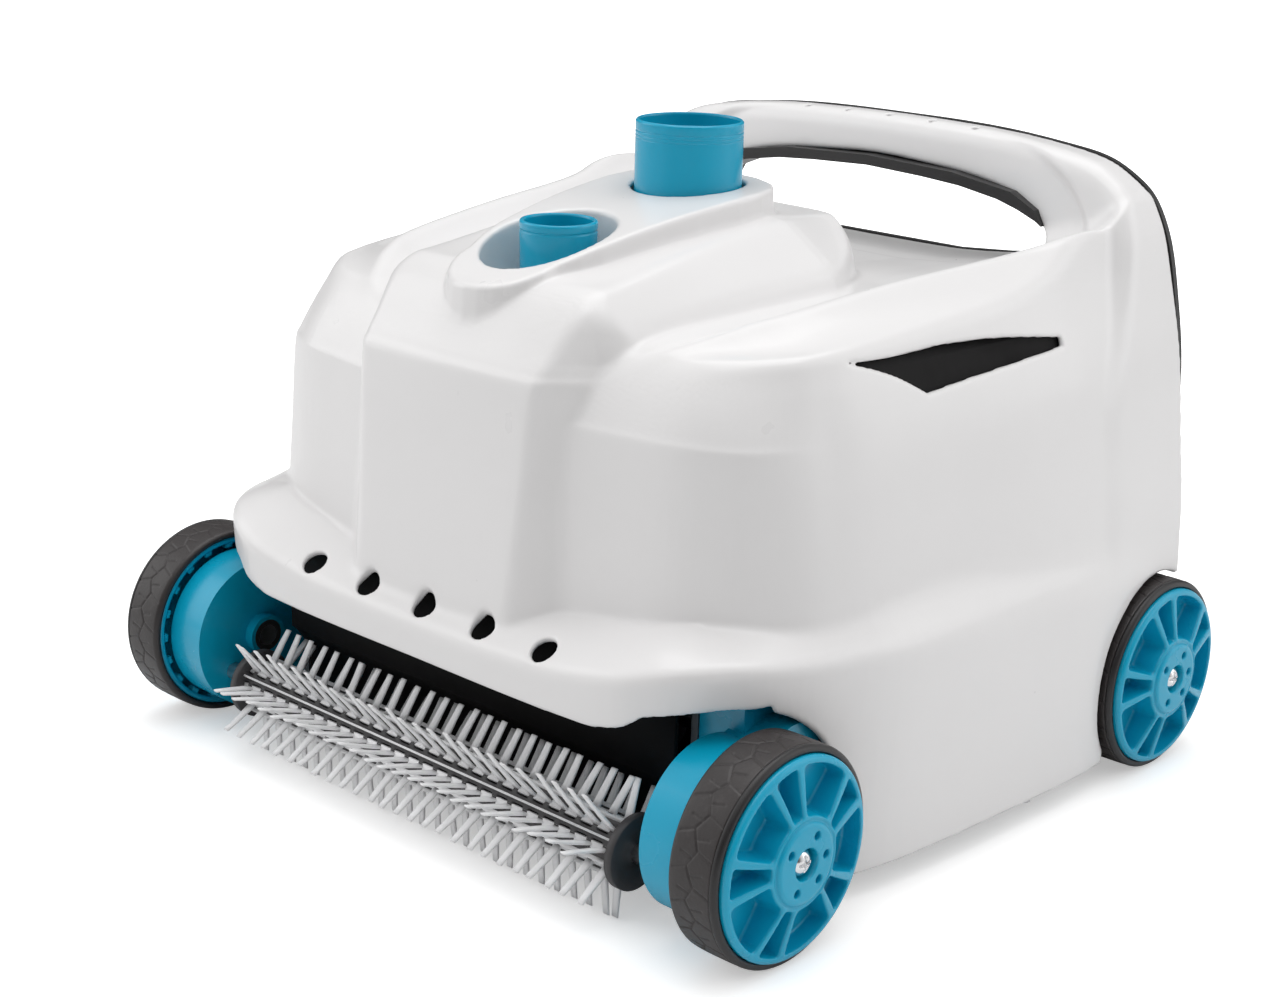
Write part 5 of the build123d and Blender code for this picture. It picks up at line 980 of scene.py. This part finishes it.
camera.matrix_world = Matrix(((rolled_right.x, rolled_up.x, back.x, CAMERA_POINT[0]),
                              (rolled_right.y, rolled_up.y, back.y, CAMERA_POINT[1]),
                              (rolled_right.z, rolled_up.z, back.z, CAMERA_POINT[2]),
                              (0, 0, 0, 1)))
bpy.context.scene.camera = camera


def area_light(name, place, target, size, power, colour=(1, 1, 1)):
    data = bpy.data.lights.new(name, "AREA")
    data.shape = "RECTANGLE"
    data.size, data.size_y = size
    data.energy = power
    data.color = colour
    obj = bpy.data.objects.new(name, data)
    bpy.context.collection.objects.link(obj)
    obj.location = place
    obj.rotation_mode = "QUATERNION"
    obj.rotation_quaternion = (Vector(target) - Vector(place)).to_track_quat("-Z", "Y")
    return obj


area_light("top", (-0.1, 0.1, 1.9), (0, 0, 0.1), (1.6, 1.6), 13)
area_light("left", (-1.7, -0.9, 0.9), (0, -0.05, 0.1), (1.2, 1.4), 5)
area_light("right", (1.5, 1.3, 0.9), (0, 0, 0.12), (1.2, 1.4), 4)

# the studio: bright overhead and at both sides, darker towards the front and back
world = bpy.data.worlds.new("world")
bpy.context.scene.world = world
world.use_nodes = True
nodes, links = world.node_tree.nodes, world.node_tree.links
for node in list(nodes):
    nodes.remove(node)
direction = nodes.new("ShaderNodeTexCoord").outputs["Generated"]


def facing(axis, start, end, low, high, both=False):
    """Brightness from low to high as a direction turns towards an axis."""
    dot = nodes.new("ShaderNodeVectorMath")
    dot.operation = "DOT_PRODUCT"
    links.new(direction, dot.inputs[0])
    dot.inputs[1].default_value = axis
    value = dot.outputs["Value"]
    if both:
        size = nodes.new("ShaderNodeMath")
        size.operation = "ABSOLUTE"
        links.new(value, size.inputs[0])
        value = size.outputs["Value"]
    ramp = nodes.new("ShaderNodeMapRange")
    ramp.interpolation_type = "SMOOTHSTEP"
    links.new(value, ramp.inputs["Value"])
    for key, number in zip(("From Min", "From Max", "To Min", "To Max"), (start, end, low, high)):
        ramp.inputs[key].default_value = number
    return ramp.outputs["Result"]


def total(a, b):
    node = nodes.new("ShaderNodeMath")
    links.new(a, node.inputs[0])
    links.new(b, node.inputs[1])
    return node.outputs["Value"]


level = total(total(facing((0, 0, 1), 0.25, 0.95, 0.10, 1.05),
                    facing((cos(CAMERA_AZIMUTH), sin(CAMERA_AZIMUTH), 0), 0.55, 0.95, 0.0, 0.78, True)),
              facing((0, 0, -1), 0.0, 0.4, 0.0, 0.22))
lit = nodes.new("ShaderNodeBackground")
lit.inputs["Color"].default_value = (1, 1, 1, 1)
links.new(level, lit.inputs["Strength"])
shown = nodes.new("ShaderNodeBackground")
shown.inputs["Color"].default_value = (1, 1, 1, 1)
shown.inputs["Strength"].default_value = 1.0
path = nodes.new("ShaderNodeLightPath")
choose = nodes.new("ShaderNodeMixShader")
out = nodes.new("ShaderNodeOutputWorld")
links.new(path.outputs["Is Camera Ray"], choose.inputs["Fac"])
links.new(lit.outputs["Background"], choose.inputs[1])
links.new(shown.outputs["Background"], choose.inputs[2])
links.new(choose.outputs["Shader"], out.inputs["Surface"])

bpy.context.scene.view_settings.view_transform = "Standard"

floor_mesh = bpy.data.meshes.new("floor")
floor_mesh.from_pydata([(-30, -30, 0), (30, -30, 0), (30, 30, 0), (-30, 30, 0)], [], [(0, 1, 2, 3)])
floor = bpy.data.objects.new("floor", floor_mesh)
bpy.context.collection.objects.link(floor)
floor_material = bpy.data.materials.new("floor")
floor_material.use_nodes = True
nodes, links = floor_material.node_tree.nodes, floor_material.node_tree.links
matt = nodes["Principled BSDF"]
matt.inputs["Base Color"].default_value = (0.90, 0.90, 0.90, 1)
matt.inputs["Roughness"].default_value = 0.5
# the floor shows white away from the object, and keeps the shadow near it
spot = nodes.new("ShaderNodeNewGeometry")
reach = nodes.new("ShaderNodeVectorMath")
reach.operation = "LENGTH"
links.new(spot.outputs["Position"], reach.inputs[0])
fade = nodes.new("ShaderNodeMapRange")
fade.interpolation_type = "SMOOTHSTEP"
fade.inputs["From Min"].default_value = 0.22
fade.inputs["From Max"].default_value = 0.75
fade.inputs["To Min"].default_value = 0.42
fade.inputs["To Max"].default_value = 1.0
links.new(reach.outputs["Value"], fade.inputs["Value"])
strength = nodes.new("ShaderNodeMath")
strength.operation = "MULTIPLY"
links.new(fade.outputs["Result"], strength.inputs[0])
links.new(nodes.new("ShaderNodeLightPath").outputs["Is Camera Ray"], strength.inputs[1])
glow = nodes.new("ShaderNodeEmission")
links.new(strength.outputs["Value"], glow.inputs["Strength"])
both = nodes.new("ShaderNodeAddShader")
links.new(matt.outputs["BSDF"], both.inputs[0])
links.new(glow.outputs["Emission"], both.inputs[1])
links.new(both.outputs["Shader"], nodes["Material Output"].inputs["Surface"])
floor_mesh.materials.append(floor_material)
